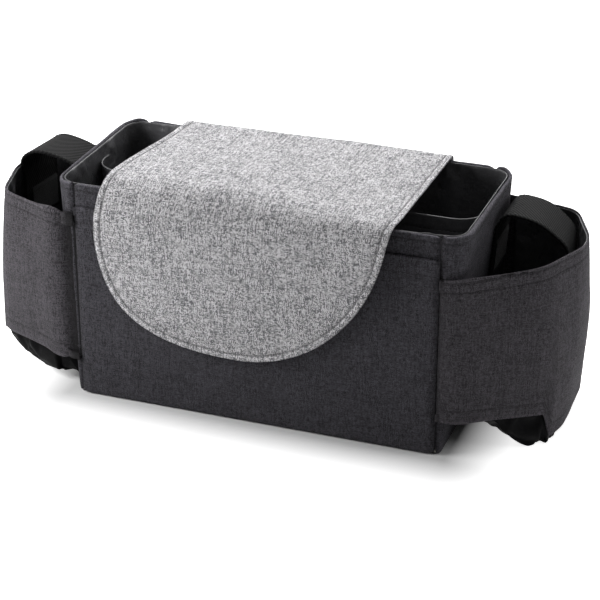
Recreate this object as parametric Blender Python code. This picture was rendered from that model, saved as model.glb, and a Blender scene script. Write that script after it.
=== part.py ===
"""Stroller organizer: a soft box with a flap lid, and a cup pocket and a strap at each end.

Metres, +Z up. The front faces -Y, the organizer stands on its base, and the origin lies under
the middle of the whole object. Every wall is built as the layers that it is sewn from.
"""

import math

import bmesh
import bpy
from mathutils import Vector
from mathutils.geometry import interpolate_bezier

# Thicknesses of the materials
SHELL = 0.0010  # woven outer fabric with its backing
LINING = 0.0006
FOAM = 0.0020
BOARD = 0.0020
WEBBING = 0.0016
PATCH = 0.0008  # hook or loop tape
TOUCH = 0.0003  # left between two layers that lie on each other

# Body: flat between its upright seams, with a side panel that rounds both corners of each end
BODY_HEIGHT = 0.160
BODY_DEPTH = 0.131
SEAM_TO_SEAM = 0.260
CORNER_AT_RIM = 0.017
CORNER_AT_BASE = 0.004
LEAST_CORNER = 0.0006
FOAM_FROM_SEAM = 0.006
FOAM_FROM_RIM = 0.012
LINING_BELOW_RIM = 0.0015

# Pocket across the front
FRONT_POCKET_HEIGHT = 0.144
FRONT_POCKET_HEM = 0.011
FRONT_POCKET_BULGE = 0.0020
HEM_STEP = 0.0004  # a folded hem stands this much proud
HEM_SLOPE = 0.0006

# Pocket inside: its top edge, its front's place from the middle of the depth, and its ends
INNER_POCKET_TOP = 0.150
INNER_POCKET_FORWARD = 0.012
INNER_POCKET_ENDS_BACK = 0.021
INNER_POCKET_CORNER = 0.020

# Flap: sewn to the back below the rim, over the top and down the front
FLAP_SHELL = 0.0013
FLAP_SEWN_BELOW_RIM = 0.020
FLAP_SLACK = 0.0012
FLAP_LINING_INSET = 0.0015
FLAP_LEFT_AT_BACK = 0.099
FLAP_LEFT_AT_RIM = 0.109
FLAP_RIGHT_AT_BACK = 0.0995
FLAP_RIGHT_AT_RIM = 0.0992
FLAP_FRONT_BEND = 0.027
FLAP_OFF_FRONT_RIM = 0.0088  # between the front's outer face and the flap's inner face
FLAP_RIM_CLEARANCE = 0.0005
FLAP_RISES_FROM = 0.010  # how far behind the middle it starts to rise towards the front bend
FLAP_DROP = 0.1128  # from its top at the back down to its tip
FLAP_ROUND_LENGTH = 0.1005  # along it, from where its sides start to round in, to its tip
FLAP_TIP_LEFT = 0.009
# Each side's curve in front: outwards and down from its start, and along the foot from the tip
FLAP_LEFT_CURVE = (0.0127, 0.085, 0.060)
FLAP_RIGHT_CURVE = (-0.0172, 0.0660, 0.0440)
FLAP_PATCH_WIDTH = 0.100
FLAP_PATCH_HEIGHT = 0.020
FLAP_PATCH_ABOVE_TIP = 0.018
FLAP_FLAT_ABOVE_PATCH = 0.0005

# Straps
STRAP_WIDTH = 0.038
STRAP_SEWN_LENGTH = 0.036
STRAP_PATCH_LENGTH = 0.026
STRAP_PATCH_MARGIN = 0.003
STRAP_CLEARANCE = 0.0015  # between the strap's far edge and the pocket's lining
STRAP_TURNED_BY = 0.65  # share of its free length by which the strap has turned along the wall

# Cup pockets: corners of the band's plan as (out from the seam, back from the front seam, radius).
# The last corner lies in the back's plane and has no distance from the front.
# The band's heights are given at places along it, as shares of its length. The sag of its bottom
# is (place along the band, reach either way, depth).
# A strap runs through points given as (out from the body's side, up from where it leaves that
# side), and then as (in from its hanging end, up from the same place).
POCKET_HEM = 0.009
POCKET_BULGE = 0.0020
POCKET_BOTTOM = 0.0010
BOTTOM_ABOVE_HEM = 0.002
RIM_PLACES = (0.0, 0.45, 0.75, 1.0)
HEM_PLACES = (0.0, 0.31, 0.35, 1.0)
SAG_RINGS = ((0.0, 0.0), (0.04, 0.5), (0.10, 0.8), (0.25, 1.0), (0.55, 1.0))  # (share inwards, sag)
RIGHT_POCKET = {
    "side": 1,
    "rim_corners": [(0.008, 0.0, 0.012), (0.060, 0.0318, 0.030), (0.0822, 0.0768, 0.045)],
    "rim_back_corner": (0.060, 0.018),
    "hem_corners": [(0.0127, 0.0, 0.012), (0.0667, 0.036, 0.012), (0.0725, 0.060, 0.040)],
    "hem_back_corner": (0.0717, 0.018),
    "rim_heights": (0.131, 0.137, 0.136, 0.140),
    "hem_heights": (0.026, 0.026, 0.002, 0.002),
    "bottom_at_body": 0.022,
    "sag": (0.28, 0.10, 0.026),
    "strap_from_back": 0.0355,
    "strap_leaves": 0.137,
    "strap_over": [(0.005, 0.0085), (0.012, 0.011), (0.028, 0.008)],
    "strap_down": [(0.011, 0.001), (0.002, -0.008), (0.0, -0.025), (0.0, -0.042)],
    "strap_off_wall": 0.010,
}
LEFT_POCKET = {
    "side": -1,
    "rim_corners": [(0.0177, 0.0, 0.025), (0.0637, 0.0188, 0.018), (0.0765, 0.0668, 0.050)],
    "rim_back_corner": (0.062, 0.020),
    "hem_corners": [(0.0127, 0.0013, 0.015), (0.067, 0.0268, 0.025), (0.081, 0.0548, 0.040)],
    "hem_back_corner": (0.069, 0.018),
    "rim_heights": (0.139, 0.140, 0.133, 0.136),
    "hem_heights": (0.026, 0.026, 0.020, 0.003),
    "bottom_at_body": 0.006,
    "sag": (0.06, 0.20, 0.018),
    "strap_from_back": 0.0465,
    "strap_leaves": 0.130,
    "strap_over": [(0.0093, 0.010), (0.0235, 0.0172)],
    "strap_down": [(0.0145, 0.0205), (0.0045, 0.018), (0.0005, 0.011), (0.0, -0.012), (0.0, -0.035)],
    "strap_off_wall": 0.0040,
}

# How finely round stretches are drawn
SHARP_OVER = math.radians(40)
LEAST_MITRE = 0.5  # keeps an inset outline's sharp corners from running far in
CORNER_STEPS = 6
BAND_COLUMNS = 44
BAND_ROWS = 5
LINING_TRIM = 3  # columns of the band at each seam that its lining leaves free
CURVE_STEPS = 6
BEND_STEPS = 6
FRONT_BEND_STEPS = 10
STRAP_COLUMNS = 40

SEAM_X = SEAM_TO_SEAM / 2
HALF_DEPTH = BODY_DEPTH / 2
FOAM_INSET = SHELL + TOUCH
LINING_INSET = FOAM_INSET + FOAM + TOUCH
INSIDE_INSET = LINING_INSET + LINING + TOUCH
WALL_FOOT = SHELL + TOUCH
BOARD_FOOT = SHELL + TOUCH
LINING_FOOT = BOARD_FOOT + BOARD + TOUCH
INSIDE_FOOT = LINING_FOOT + LINING + TOUCH
OUTER_LAYER = SHELL + TOUCH

# Where the flap's outer face lies. Its tip clears the bulging pocket and both tapes, and its
# front bend is raised until it clears the front rim.
FLAP_STACK = LINING + TOUCH + FLAP_SHELL
FLAP_ABOVE_RIM = FLAP_SLACK + TOUCH
FLAP_TIP_STANDS_OFF = OUTER_LAYER + FRONT_POCKET_BULGE + 2 * PATCH + 3 * TOUCH
FLAP_TOP = BODY_HEIGHT + FLAP_ABOVE_RIM + FLAP_STACK
FLAP_BACK_Y = HALF_DEPTH + TOUCH + FLAP_STACK
FLAP_FRONT_Y = -HALF_DEPTH - FLAP_OFF_FRONT_RIM - FLAP_STACK
FLAP_TIP_Y = -HALF_DEPTH - FLAP_TIP_STANDS_OFF - FLAP_STACK
FLAP_FOOT = BODY_HEIGHT - FLAP_SEWN_BELOW_RIM
FLAP_TIP = FLAP_TOP - FLAP_DROP
FLAP_BEND_TO_RIM = math.sqrt(
    (FLAP_FRONT_BEND - FLAP_STACK) ** 2 - (FLAP_FRONT_BEND - FLAP_OFF_FRONT_RIM - FLAP_STACK) ** 2
)
FLAP_BEND_CENTRE = BODY_HEIGHT + FLAP_RIM_CLEARANCE - FLAP_BEND_TO_RIM

COLOURS = {
    "shell": ((0.045, 0.044, 0.050), 0.85),
    "pocket": ((0.060, 0.058, 0.062), 0.85),
    "flap": ((0.38, 0.38, 0.40), 0.88),
    "lining": ((0.006, 0.006, 0.007), 0.35),
    "webbing": ((0.040, 0.040, 0.041), 0.75),
    "foam": ((0.75, 0.75, 0.73), 0.95),
    "board": ((0.60, 0.58, 0.52), 0.70),
    "tape": ((0.015, 0.015, 0.016), 0.95),
}


def clear_scene():
    for thing in list(bpy.data.objects):
        bpy.data.objects.remove(thing)


def material(kind):
    """The Principled material of one kind of cloth, made once."""
    name = kind + "_cloth"
    if name in bpy.data.materials:
        return bpy.data.materials[name]
    made = bpy.data.materials.new(name)
    made.use_nodes = True
    colour, roughness = COLOURS[kind]
    shader = made.node_tree.nodes["Principled BSDF"]
    shader.inputs["Base Color"].default_value = (*colour, 1.0)
    shader.inputs["Roughness"].default_value = roughness
    shader.inputs["Metallic"].default_value = 0.0
    return made


def add_object(name, mesh_builder, kind):
    """Turns a bmesh into a node's object, with its faces pointing out."""
    bmesh.ops.recalc_face_normals(mesh_builder, faces=mesh_builder.faces)
    if mesh_builder.calc_volume(signed=True) < 0:
        bmesh.ops.reverse_faces(mesh_builder, faces=mesh_builder.faces)
    mesh = bpy.data.meshes.new(name)
    mesh_builder.to_mesh(mesh)
    mesh_builder.free()
    mesh.materials.append(material(kind))
    mesh.shade_smooth()
    mesh.set_sharp_from_angle(angle=SHARP_OVER)
    made = bpy.data.objects.new(name, mesh)
    bpy.context.scene.collection.objects.link(made)
    return made


def layered_sheet(name, outer, inner, kind):
    """A closed sheet between two grids of points, each a list of rows."""
    build = bmesh.new()
    rows = len(outer)
    columns = len(outer[0])
    front = [[build.verts.new(point) for point in row] for row in outer]
    back = [[build.verts.new(point) for point in row] for row in inner]
    for i in range(rows - 1):
        for j in range(columns - 1):
            build.faces.new((front[i][j], front[i][j + 1], front[i + 1][j + 1], front[i + 1][j]))
            build.faces.new((back[i][j], back[i + 1][j], back[i + 1][j + 1], back[i][j + 1]))
    border = [(0, j) for j in range(columns)] + [(i, columns - 1) for i in range(1, rows)]
    border += [(rows - 1, j) for j in range(columns - 2, -1, -1)]
    border += [(i, 0) for i in range(rows - 2, 0, -1)]
    for (i, j), (k, m) in zip(border, border[1:] + border[:1]):
        build.faces.new((front[i][j], back[i][j], back[k][m], front[k][m]))
    return add_object(name, build, kind)


def box(name, low, high, kind):
    """A closed block between two corners."""
    grids = []
    for y in (low[1], high[1]):
        grids.append([[(x, y, z) for x in (low[0], high[0])] for z in (low[2], high[2])])
    return layered_sheet(name, grids[0], grids[1], kind)


def corner_radius(z):
    share = z / BODY_HEIGHT
    return CORNER_AT_BASE + (CORNER_AT_RIM - CORNER_AT_BASE) * share


def wall_x(z):
    """Outer face of the side panel's flat stretch, which leans in towards the base."""
    return SEAM_X + corner_radius(z)


def side_path(side, z, inset):
    """Plan of one end of the body from its front seam to its back seam."""
    radius = max(corner_radius(z) - inset, LEAST_CORNER)
    middle_x = wall_x(z) - inset - radius
    middle_y = HALF_DEPTH - inset - radius
    path = []
    for end in (-1, 1):
        for step in range(CORNER_STEPS + 1):
            turn = math.pi / 2 * step / CORNER_STEPS
            across, along = (math.sin(turn), math.cos(turn))[::end * -1]
            path.append(Vector((side * (middle_x + radius * across), end * (middle_y + radius * along))))
    return path


def body_loop(z, inset):
    """Plan of the whole body."""
    return side_path(1, z, inset) + side_path(-1, z, inset)[::-1]


def raised(path, z):
    return [Vector((point.x, point.y, z)) for point in path]


def fillet(corners):
    """A path through the corners (x, y, radius), with each inner corner rounded."""
    path = [Vector(corners[0][:2])]
    for before, corner, after in zip(corners, corners[1:], corners[2:]):
        here = Vector(corner[:2])
        back = (Vector(before[:2]) - here).normalized()
        ahead = (Vector(after[:2]) - here).normalized()
        turn = math.pi - back.angle(ahead)
        reach = corner[2] * math.tan(turn / 2)
        ends = (here + back * reach, here + ahead * reach)
        middle = here + (back + ahead).normalized() * (corner[2] / math.cos(turn / 2))
        for step in range(CORNER_STEPS + 1):
            spoke = (ends[0] - middle).slerp(ends[1] - middle, step / CORNER_STEPS)
            path.append(middle + spoke * corner[2])
    path.append(Vector(corners[-1][:2]))
    return path


def evenly(path, count, trim_start=0.0, trim_end=0.0):
    """The path's points again, evenly spaced, without a length at each end."""
    lengths = [0.0]
    for here, there in zip(path, path[1:]):
        lengths.append(lengths[-1] + (there - here).length)
    first, last = trim_start, lengths[-1] - trim_end
    points = []
    piece = 0
    for step in range(count):
        at = first + (last - first) * step / (count - 1)
        while piece < len(path) - 2 and lengths[piece + 1] < at:
            piece += 1
        span = lengths[piece + 1] - lengths[piece]
        points.append(path[piece].lerp(path[piece + 1], (at - lengths[piece]) / span))
    return points


def inset_path(path, inset, side):
    """The path moved towards its inner side. It runs from the front seam to the back seam."""
    moved = []
    for i, point in enumerate(path):
        along = (path[min(i + 1, len(path) - 1)] - path[max(i - 1, 0)]).normalized()
        moved.append(point + Vector((-along.y, along.x)) * side * inset)
    return moved


def ease(share):
    share = min(max(share, 0.0), 1.0)
    return share * share * (3 - 2 * share)


def smooth_through(points, steps):
    """A smooth open curve through the points."""
    ends = [points[0] * 2 - points[1]] + points + [points[-1] * 2 - points[-2]]
    curve = []
    for a, b, c, d in zip(ends, ends[1:], ends[2:], ends[3:]):
        handles = (b, b + (c - a) / 6, c - (d - b) / 6, c)
        curve += interpolate_bezier(*handles, steps + 1)[:-1]
    return curve + [points[-1]]


def make_body():
    """Shell panels, stiffeners and lining of the main compartment."""
    flat_x = SEAM_X - TOUCH
    for name, face in (("front_panel", -1), ("back_panel", 1)):
        low = sorted((face * HALF_DEPTH, face * (HALF_DEPTH - SHELL)))
        box(name, (-flat_x, low[0], WALL_FOOT), (flat_x, low[1], BODY_HEIGHT), "shell")
    for name, side in (("left_side_panel", -1), ("right_side_panel", 1)):
        heights = (WALL_FOOT, BODY_HEIGHT)
        outer = [raised(side_path(side, z, 0.0), z) for z in heights]
        inner = [raised(side_path(side, z, SHELL), z) for z in heights]
        layered_sheet(name, outer, inner, "shell")
    flat_layer("base_panel", 0.0, SHELL, 0.0, "shell")
    flat_layer("base_board", BOARD_FOOT, BOARD, SHELL + TOUCH, "board")
    make_foams()
    make_lining()


def flat_layer(name, foot, thickness, inset, kind):
    """A flat sheet with the body's plan, lying at a height."""
    build = bmesh.new()
    loop = body_loop(0.0, inset)
    bottom = [build.verts.new(point) for point in raised(loop, foot)]
    top = [build.verts.new(point) for point in raised(loop, foot + thickness)]
    build.faces.new(bottom)
    build.faces.new(top)
    for i in range(len(loop)):
        k = (i + 1) % len(loop)
        build.faces.new((bottom[i], bottom[k], top[k], top[i]))
    return add_object(name, build, kind)


def make_foams():
    """Padding behind the flat stretch of each wall."""
    foot = LINING_FOOT
    top = BODY_HEIGHT - FOAM_FROM_RIM
    half_width = SEAM_X - FOAM_FROM_SEAM
    outer = HALF_DEPTH - FOAM_INSET
    box("front_foam", (-half_width, -outer, foot), (half_width, -outer + FOAM, top), "foam")
    box("back_foam", (-half_width, outer - FOAM, foot), (half_width, outer, top), "foam")
    half_depth = HALF_DEPTH - CORNER_AT_RIM - FOAM_FROM_SEAM
    for name, side in (("left_foam", -1), ("right_foam", 1)):
        faces = []
        for inset in (FOAM_INSET, FOAM_INSET + FOAM):
            rows = []
            for z in (foot, top):
                x = side * (wall_x(z) - inset)
                rows.append([(x, -half_depth, z), (x, half_depth, z)])
            faces.append(rows)
        layered_sheet(name, faces[0], faces[1], "foam")


def make_lining():
    """One open bag inside the shell."""
    build = bmesh.new()
    top = BODY_HEIGHT - LINING_BELOW_RIM
    loops = []
    for z, inset in (
        (LINING_FOOT, LINING_INSET),
        (top, LINING_INSET),
        (top, LINING_INSET + LINING),
        (LINING_FOOT + LINING, LINING_INSET + LINING),
    ):
        loops.append([build.verts.new(point) for point in raised(body_loop(z, inset), z)])
    for here, there in zip(loops, loops[1:]):
        for i in range(len(here)):
            k = (i + 1) % len(here)
            build.faces.new((here[i], here[k], there[k], there[i]))
    build.faces.new(loops[0])
    build.faces.new(loops[-1])
    add_object("lining", build, "lining")


def make_front_pocket():
    """A bulging patch between the front seams, with a folded hem along its top."""
    half_width = SEAM_X - TOUCH
    hem = FRONT_POCKET_HEIGHT - FRONT_POCKET_HEM
    heights = [WALL_FOOT + (hem - HEM_SLOPE - WALL_FOOT) * i / BAND_ROWS for i in range(BAND_ROWS + 1)]
    rows = [(z, 0.0) for z in heights] + [(hem, HEM_STEP), (FRONT_POCKET_HEIGHT, HEM_STEP)]
    columns = 2 * CURVE_STEPS
    grids = ([], [])
    for z, proud in rows:
        share = (z - WALL_FOOT) / (FRONT_POCKET_HEIGHT - WALL_FOOT)
        for grid, thickness in zip(grids, (SHELL + proud, 0.0)):
            row = []
            for i in range(columns + 1):
                across = i / columns
                bulge = FRONT_POCKET_BULGE * math.sin(math.pi * across) * math.sin(math.pi * share)
                y = -HALF_DEPTH - TOUCH - thickness - bulge
                row.append((half_width * (2 * across - 1), y, z))
            grid.append(row)
    layered_sheet("front_pocket", grids[0], grids[1], "shell")


def make_inner_pocket():
    """The pocket inside, whose ends turn back along the side walls."""
    grids = ([], [])
    for z in (INSIDE_FOOT, INNER_POCKET_TOP):
        half_width = wall_x(z) - INSIDE_INSET
        ends_y = INNER_POCKET_ENDS_BACK
        corners = [
            (-half_width, ends_y),
            (-half_width, -INNER_POCKET_FORWARD, INNER_POCKET_CORNER),
            (half_width, -INNER_POCKET_FORWARD, INNER_POCKET_CORNER),
            (half_width, ends_y),
        ]
        path = fillet(corners)
        grids[0].append(raised(path, z))
        grids[1].append(raised(inset_path(path, 2 * LINING, 1), z))
    layered_sheet("inner_pocket", grids[0], grids[1], "lining")


def flap_section():
    """The flap's outer face from the side, as (y, z) points from its sewn edge to its tip."""
    back_bend = FLAP_STACK + FLAP_ABOVE_RIM
    section = [Vector((FLAP_BACK_Y, FLAP_FOOT))]
    for i in range(BEND_STEPS + 1):
        turn = math.pi / 2 * i / BEND_STEPS
        across = FLAP_BACK_Y - back_bend + back_bend * math.cos(turn)
        section.append(Vector((across, FLAP_TOP - back_bend + back_bend * math.sin(turn))))
    bend_y = FLAP_FRONT_Y + FLAP_FRONT_BEND
    bend_top = FLAP_BEND_CENTRE + FLAP_FRONT_BEND
    for i in range(CURVE_STEPS):
        share = i / CURVE_STEPS
        across = FLAP_RISES_FROM + (bend_y - FLAP_RISES_FROM) * share
        section.append(Vector((across, FLAP_TOP + (bend_top - FLAP_TOP) * ease(share))))
    for i in range(FRONT_BEND_STEPS + 1):
        turn = math.pi / 2 * i / FRONT_BEND_STEPS
        across = bend_y - FLAP_FRONT_BEND * math.sin(turn)
        section.append(Vector((across, FLAP_BEND_CENTRE + FLAP_FRONT_BEND * math.cos(turn))))
    flat_from = FLAP_TIP + FLAP_PATCH_ABOVE_TIP + FLAP_PATCH_HEIGHT + FLAP_FLAT_ABOVE_PATCH
    for i in range(1, CURVE_STEPS + 1):
        share = i / CURVE_STEPS
        across = FLAP_FRONT_Y + (FLAP_TIP_Y - FLAP_FRONT_Y) * ease(share)
        section.append(Vector((across, FLAP_BEND_CENTRE + (flat_from - FLAP_BEND_CENTRE) * share)))
    section.append(Vector((FLAP_TIP_Y, FLAP_TIP)))
    return section


def flap_outline():
    """The flap's flat cut as (across, along) points. Along runs from its sewn edge, over the top."""
    length = length_of(flap_section())
    rim = length - FLAP_ROUND_LENGTH
    tip = Vector((-FLAP_TIP_LEFT, length))
    left_out, left_down, left_foot = FLAP_LEFT_CURVE
    right_out, right_down, right_foot = FLAP_RIGHT_CURVE
    left = Vector((-FLAP_LEFT_AT_RIM, rim))
    right = Vector((FLAP_RIGHT_AT_RIM, rim))
    left_curve = (left, left + Vector((-left_out, left_down)), tip - Vector((left_foot, 0)), tip)
    right_curve = (tip, tip + Vector((right_foot, 0)), right + Vector((right_out, right_down)), right)
    steps = 4 * CURVE_STEPS
    outline = [Vector((FLAP_RIGHT_AT_BACK, 0)), Vector((-FLAP_LEFT_AT_BACK, 0))]
    outline += interpolate_bezier(*left_curve, steps)[:-1]
    return outline + interpolate_bezier(*right_curve, steps)


def flap_place(section, across, along, depth):
    """Where a point of the flat cut lies once the flap is folded over, at a depth below its face."""
    for i in range(len(section) - 1):
        step = (section[i + 1] - section[i]).length
        if along <= step or i == len(section) - 2:
            break
        along -= step
    ends = []
    for k in (i, i + 1):
        before = section[k] - section[k - 1] if k > 0 else section[1] - section[0]
        after = section[k + 1] - section[k] if k + 1 < len(section) else before
        normal = (before.normalized() + after.normalized()).normalized()
        normal = Vector((normal.y, -normal.x))
        mitre = normal.dot(Vector((after.y, -after.x)).normalized())
        ends.append(section[k] - normal * (depth / mitre))
    place = ends[0].lerp(ends[1], along / step)
    return Vector((across, place.x, place.y))


def inset_outline(outline, inset):
    """A closed outline moved inwards. It runs clockwise seen from above its face."""
    moved = []
    count = len(outline)
    for i, point in enumerate(outline):
        before = (point - outline[i - 1]).normalized()
        after = (outline[(i + 1) % count] - point).normalized()
        normal = Vector((before.y + after.y, -before.x - after.x)).normalized()
        stretch = max(normal.dot(Vector((before.y, -before.x))), LEAST_MITRE)
        moved.append(point + normal * (inset / stretch))
    return moved


def folded_cut(name, outline, depth_outer, depth_inner, kind):
    """A flat cut of cloth folded over the body as the flap lies."""
    section = flap_section()
    build = bmesh.new()
    build.faces.new([build.verts.new((point.x, point.y, 0)) for point in outline])
    fold = 0.0
    for here, there in zip(section[:-2], section[1:]):
        fold += (there - here).length
        parts = build.verts[:] + build.edges[:] + build.faces[:]
        bmesh.ops.bisect_plane(build, geom=parts, plane_co=(0, fold, 0), plane_no=(0, 1, 0), dist=1e-7)
    bmesh.ops.triangulate(build, faces=build.faces[:])
    flat = [(vert, vert.co.copy()) for vert in build.verts]
    raised_part = bmesh.ops.extrude_face_region(build, geom=build.faces[:])
    upper = [item for item in raised_part["geom"] if isinstance(item, bmesh.types.BMVert)]
    for vert in upper:
        vert.co = flap_place(section, vert.co.x, vert.co.y, depth_outer)
    for vert, place in flat:
        vert.co = flap_place(section, place.x, place.y, depth_inner)
    return add_object(name, build, kind)


def make_flap():
    outline = flap_outline()
    folded_cut("flap_shell", outline, 0.0, FLAP_SHELL, "flap")
    inside = FLAP_SHELL + TOUCH
    trimmed = inset_outline(outline, FLAP_LINING_INSET)
    folded_cut("flap_lining", trimmed, inside, inside + LINING, "lining")
    make_flap_patches()


def make_flap_patches():
    """Hook tape under the flap's tip, and loop tape on the front pocket behind it."""
    foot = FLAP_TIP + FLAP_PATCH_ABOVE_TIP
    low_x = -FLAP_TIP_LEFT - FLAP_PATCH_WIDTH / 2
    high_x = -FLAP_TIP_LEFT + FLAP_PATCH_WIDTH / 2
    hook_y = FLAP_TIP_Y + FLAP_STACK + TOUCH
    high_z = foot + FLAP_PATCH_HEIGHT
    box("flap_hook_patch", (low_x, hook_y, foot), (high_x, hook_y + PATCH, high_z), "tape")
    loop_y = -HALF_DEPTH - TOUCH - SHELL - FRONT_POCKET_BULGE - TOUCH - PATCH
    box("front_loop_patch", (low_x, loop_y, foot), (high_x, loop_y + PATCH, high_z), "tape")


def band_plan(pocket, level):
    """Plan of a cup pocket's outer face at its rim or its hem, from the front seam to the back."""
    side = pocket["side"]
    front_y = -HALF_DEPTH - OUTER_LAYER
    back_y = HALF_DEPTH + OUTER_LAYER
    start_x = SEAM_X + TOUCH
    corners = [(side * start_x, front_y)]
    for out, back, radius in pocket[level + "_corners"]:
        corners.append((side * (start_x + out), front_y + back, radius))
    out, radius = pocket[level + "_back_corner"]
    corners.append((side * (start_x + out), back_y, radius))
    corners.append((side * start_x, back_y))
    return fillet(corners)


def stations(values, share, places):
    """A value that eases from one station to the next along a path."""
    for i in range(len(places) - 1):
        if share <= places[i + 1]:
            part = ease((share - places[i]) / (places[i + 1] - places[i]))
            return values[i] + (values[i + 1] - values[i]) * part
    return values[-1]


def band_grid(pocket, inset, rows, trim=0):
    """Points of a layer of the band. Each row is (share of the height, extra height, proud)."""
    rim = evenly(band_plan(pocket, "rim"), BAND_COLUMNS)
    hem = evenly(band_plan(pocket, "hem"), BAND_COLUMNS)
    grid = []
    for share, extra, proud in rows:
        heights = []
        plan = []
        for i in range(BAND_COLUMNS):
            along = i / (BAND_COLUMNS - 1)
            low = stations(pocket["hem_heights"], along, HEM_PLACES)
            high = stations(pocket["rim_heights"], along, RIM_PLACES)
            heights.append(low + (high - low) * share + extra)
            lift = (heights[i] - low) / (high - low)
            from_end = min(i, BAND_COLUMNS - 1 - i)
            swell = POCKET_BULGE * math.sin(math.pi * lift) * ease(from_end / CORNER_STEPS)
            plan.append((hem[i].lerp(rim[i], lift), swell))
        path = [place for place, _ in plan]
        outward = inset_path(path, -1.0, pocket["side"])
        row = []
        for i in range(trim, BAND_COLUMNS - trim):
            place = path[i] + (outward[i] - path[i]) * (plan[i][1] + proud - inset)
            row.append(Vector((place.x, place.y, heights[i])))
        grid.append(row)
    return grid


def make_band(side_name, pocket):
    """The pocket's wall with its two hems, and its lining."""
    rows = [(0.0, 0.0, HEM_STEP), (0.0, POCKET_HEM, HEM_STEP)]
    for i in range(BAND_ROWS + 1):
        share = i / BAND_ROWS
        extra = (POCKET_HEM + HEM_SLOPE) * (1 - 2 * share)
        rows.append((share, extra, 0.0))
    rows += [(1.0, -POCKET_HEM, HEM_STEP), (1.0, 0.0, HEM_STEP)]
    inner_rows = [(share, extra, 0.0) for share, extra, _ in rows]
    outer = band_grid(pocket, 0.0, rows)
    inner = band_grid(pocket, SHELL, inner_rows)
    layered_sheet(side_name + "_pocket_band", outer, inner, "pocket")
    shares = [i / BAND_ROWS for i in range(BAND_ROWS + 1)]
    lining_rows = [(share, POCKET_HEM * (1 - share) - LINING_BELOW_RIM * share, 0.0) for share in shares]
    layers = []
    for inset in (OUTER_LAYER, OUTER_LAYER + LINING):
        layers.append(band_grid(pocket, inset, lining_rows, LINING_TRIM))
    layered_sheet(side_name + "_pocket_lining", layers[0], layers[1], "lining")


def make_pocket_bottom(side_name, pocket):
    """A sagging dish between the band's hem and the body's side."""
    side = pocket["side"]
    edge_row = [(0.0, BOTTOM_ABOVE_HEM, 0.0)]
    inset = OUTER_LAYER + LINING + TOUCH
    edge = band_grid(pocket, inset, edge_row, LINING_TRIM)[0]
    wall = []
    for i in range(1, CORNER_STEPS):
        between = edge[-1].lerp(edge[0], i / CORNER_STEPS)
        height = pocket["bottom_at_body"]
        wall.append(Vector((side * (wall_x(height) + TOUCH), between.y, height)))
    sag_at, sag_reach, sag_depth = pocket["sag"]
    loop = edge + wall
    middle = sum(loop, Vector()) / len(loop)
    middle.z = POCKET_BOTTOM
    rings = []
    for share, hang in SAG_RINGS:
        ring = []
        for i, point in enumerate(loop):
            along = i / (BAND_COLUMNS - 1)
            drop = sag_depth * math.exp(-(((along - sag_at) / sag_reach) ** 2)) * hang
            place = point.lerp(middle, share)
            level = point.z - drop
            place.z = max(level + (middle.z - level) * ease(share), POCKET_BOTTOM)
            ring.append(place)
        rings.append(ring)
    build = bmesh.new()
    down = Vector((0, 0, POCKET_BOTTOM))
    surfaces = []
    for shift in (Vector(), down):
        verts = [[build.verts.new(point - shift) for point in ring] for ring in rings]
        hub = build.verts.new(middle - shift)
        surfaces.append(verts)
        for here, there in zip(verts, verts[1:]):
            for i in range(len(here)):
                k = (i + 1) % len(here)
                build.faces.new((here[i], here[k], there[k], there[i]))
        for i in range(len(loop)):
            build.faces.new((verts[-1][i], verts[-1][(i + 1) % len(loop)], hub))
    for i in range(len(loop)):
        k = (i + 1) % len(loop)
        build.faces.new((surfaces[0][0][i], surfaces[0][0][k], surfaces[1][0][k], surfaces[1][0][i]))
    add_object(side_name + "_pocket_bottom", build, "lining")


def pocket_inside_x(pocket, y):
    """How far out the pocket's lining reaches at its rim, at one depth."""
    path = inset_path(band_plan(pocket, "rim"), OUTER_LAYER + LINING, pocket["side"])
    reach = 0.0
    for here, there in zip(path, path[1:]):
        if min(here.y, there.y) <= y <= max(here.y, there.y) and here.y != there.y:
            place = here.lerp(there, (y - here.y) / (there.y - here.y))
            reach = max(reach, abs(place.x))
    return reach


def strap_middle(pocket):
    """The strap's middle from front to back, placed from the back."""
    return HALF_DEPTH - pocket["strap_from_back"]


def strap_hang(pocket):
    """How far out the strap's near edge hangs, and how far in its far edge has to turn."""
    near_y = strap_middle(pocket) - STRAP_WIDTH / 2
    hang = pocket_inside_x(pocket, near_y) - pocket["strap_off_wall"]
    room = pocket_inside_x(pocket, near_y + STRAP_WIDTH) - STRAP_CLEARANCE
    return hang, max(0.0, hang - room)


def strap_path(pocket):
    """The strap's middle line as (out, up): flat on the body's side, over the pocket and down in it."""
    stand_off = TOUCH + WEBBING / 2
    leave = pocket["strap_leaves"]
    foot = leave - STRAP_SEWN_LENGTH
    start = Vector((wall_x(foot) + stand_off, foot))
    leaving = Vector((wall_x(leave) + stand_off, leave))
    hang, _ = strap_hang(pocket)
    arch = [leaving] + [leaving + Vector(place) for place in pocket["strap_over"]]
    arch += [Vector((hang - inward, leave + up)) for inward, up in pocket["strap_down"]]
    sewn = [start.lerp(leaving, i / BEND_STEPS) for i in range(BEND_STEPS)]
    return sewn + smooth_through(arch, CURVE_STEPS)


def length_of(path):
    return sum((there - here).length for here, there in zip(path, path[1:]))


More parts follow.
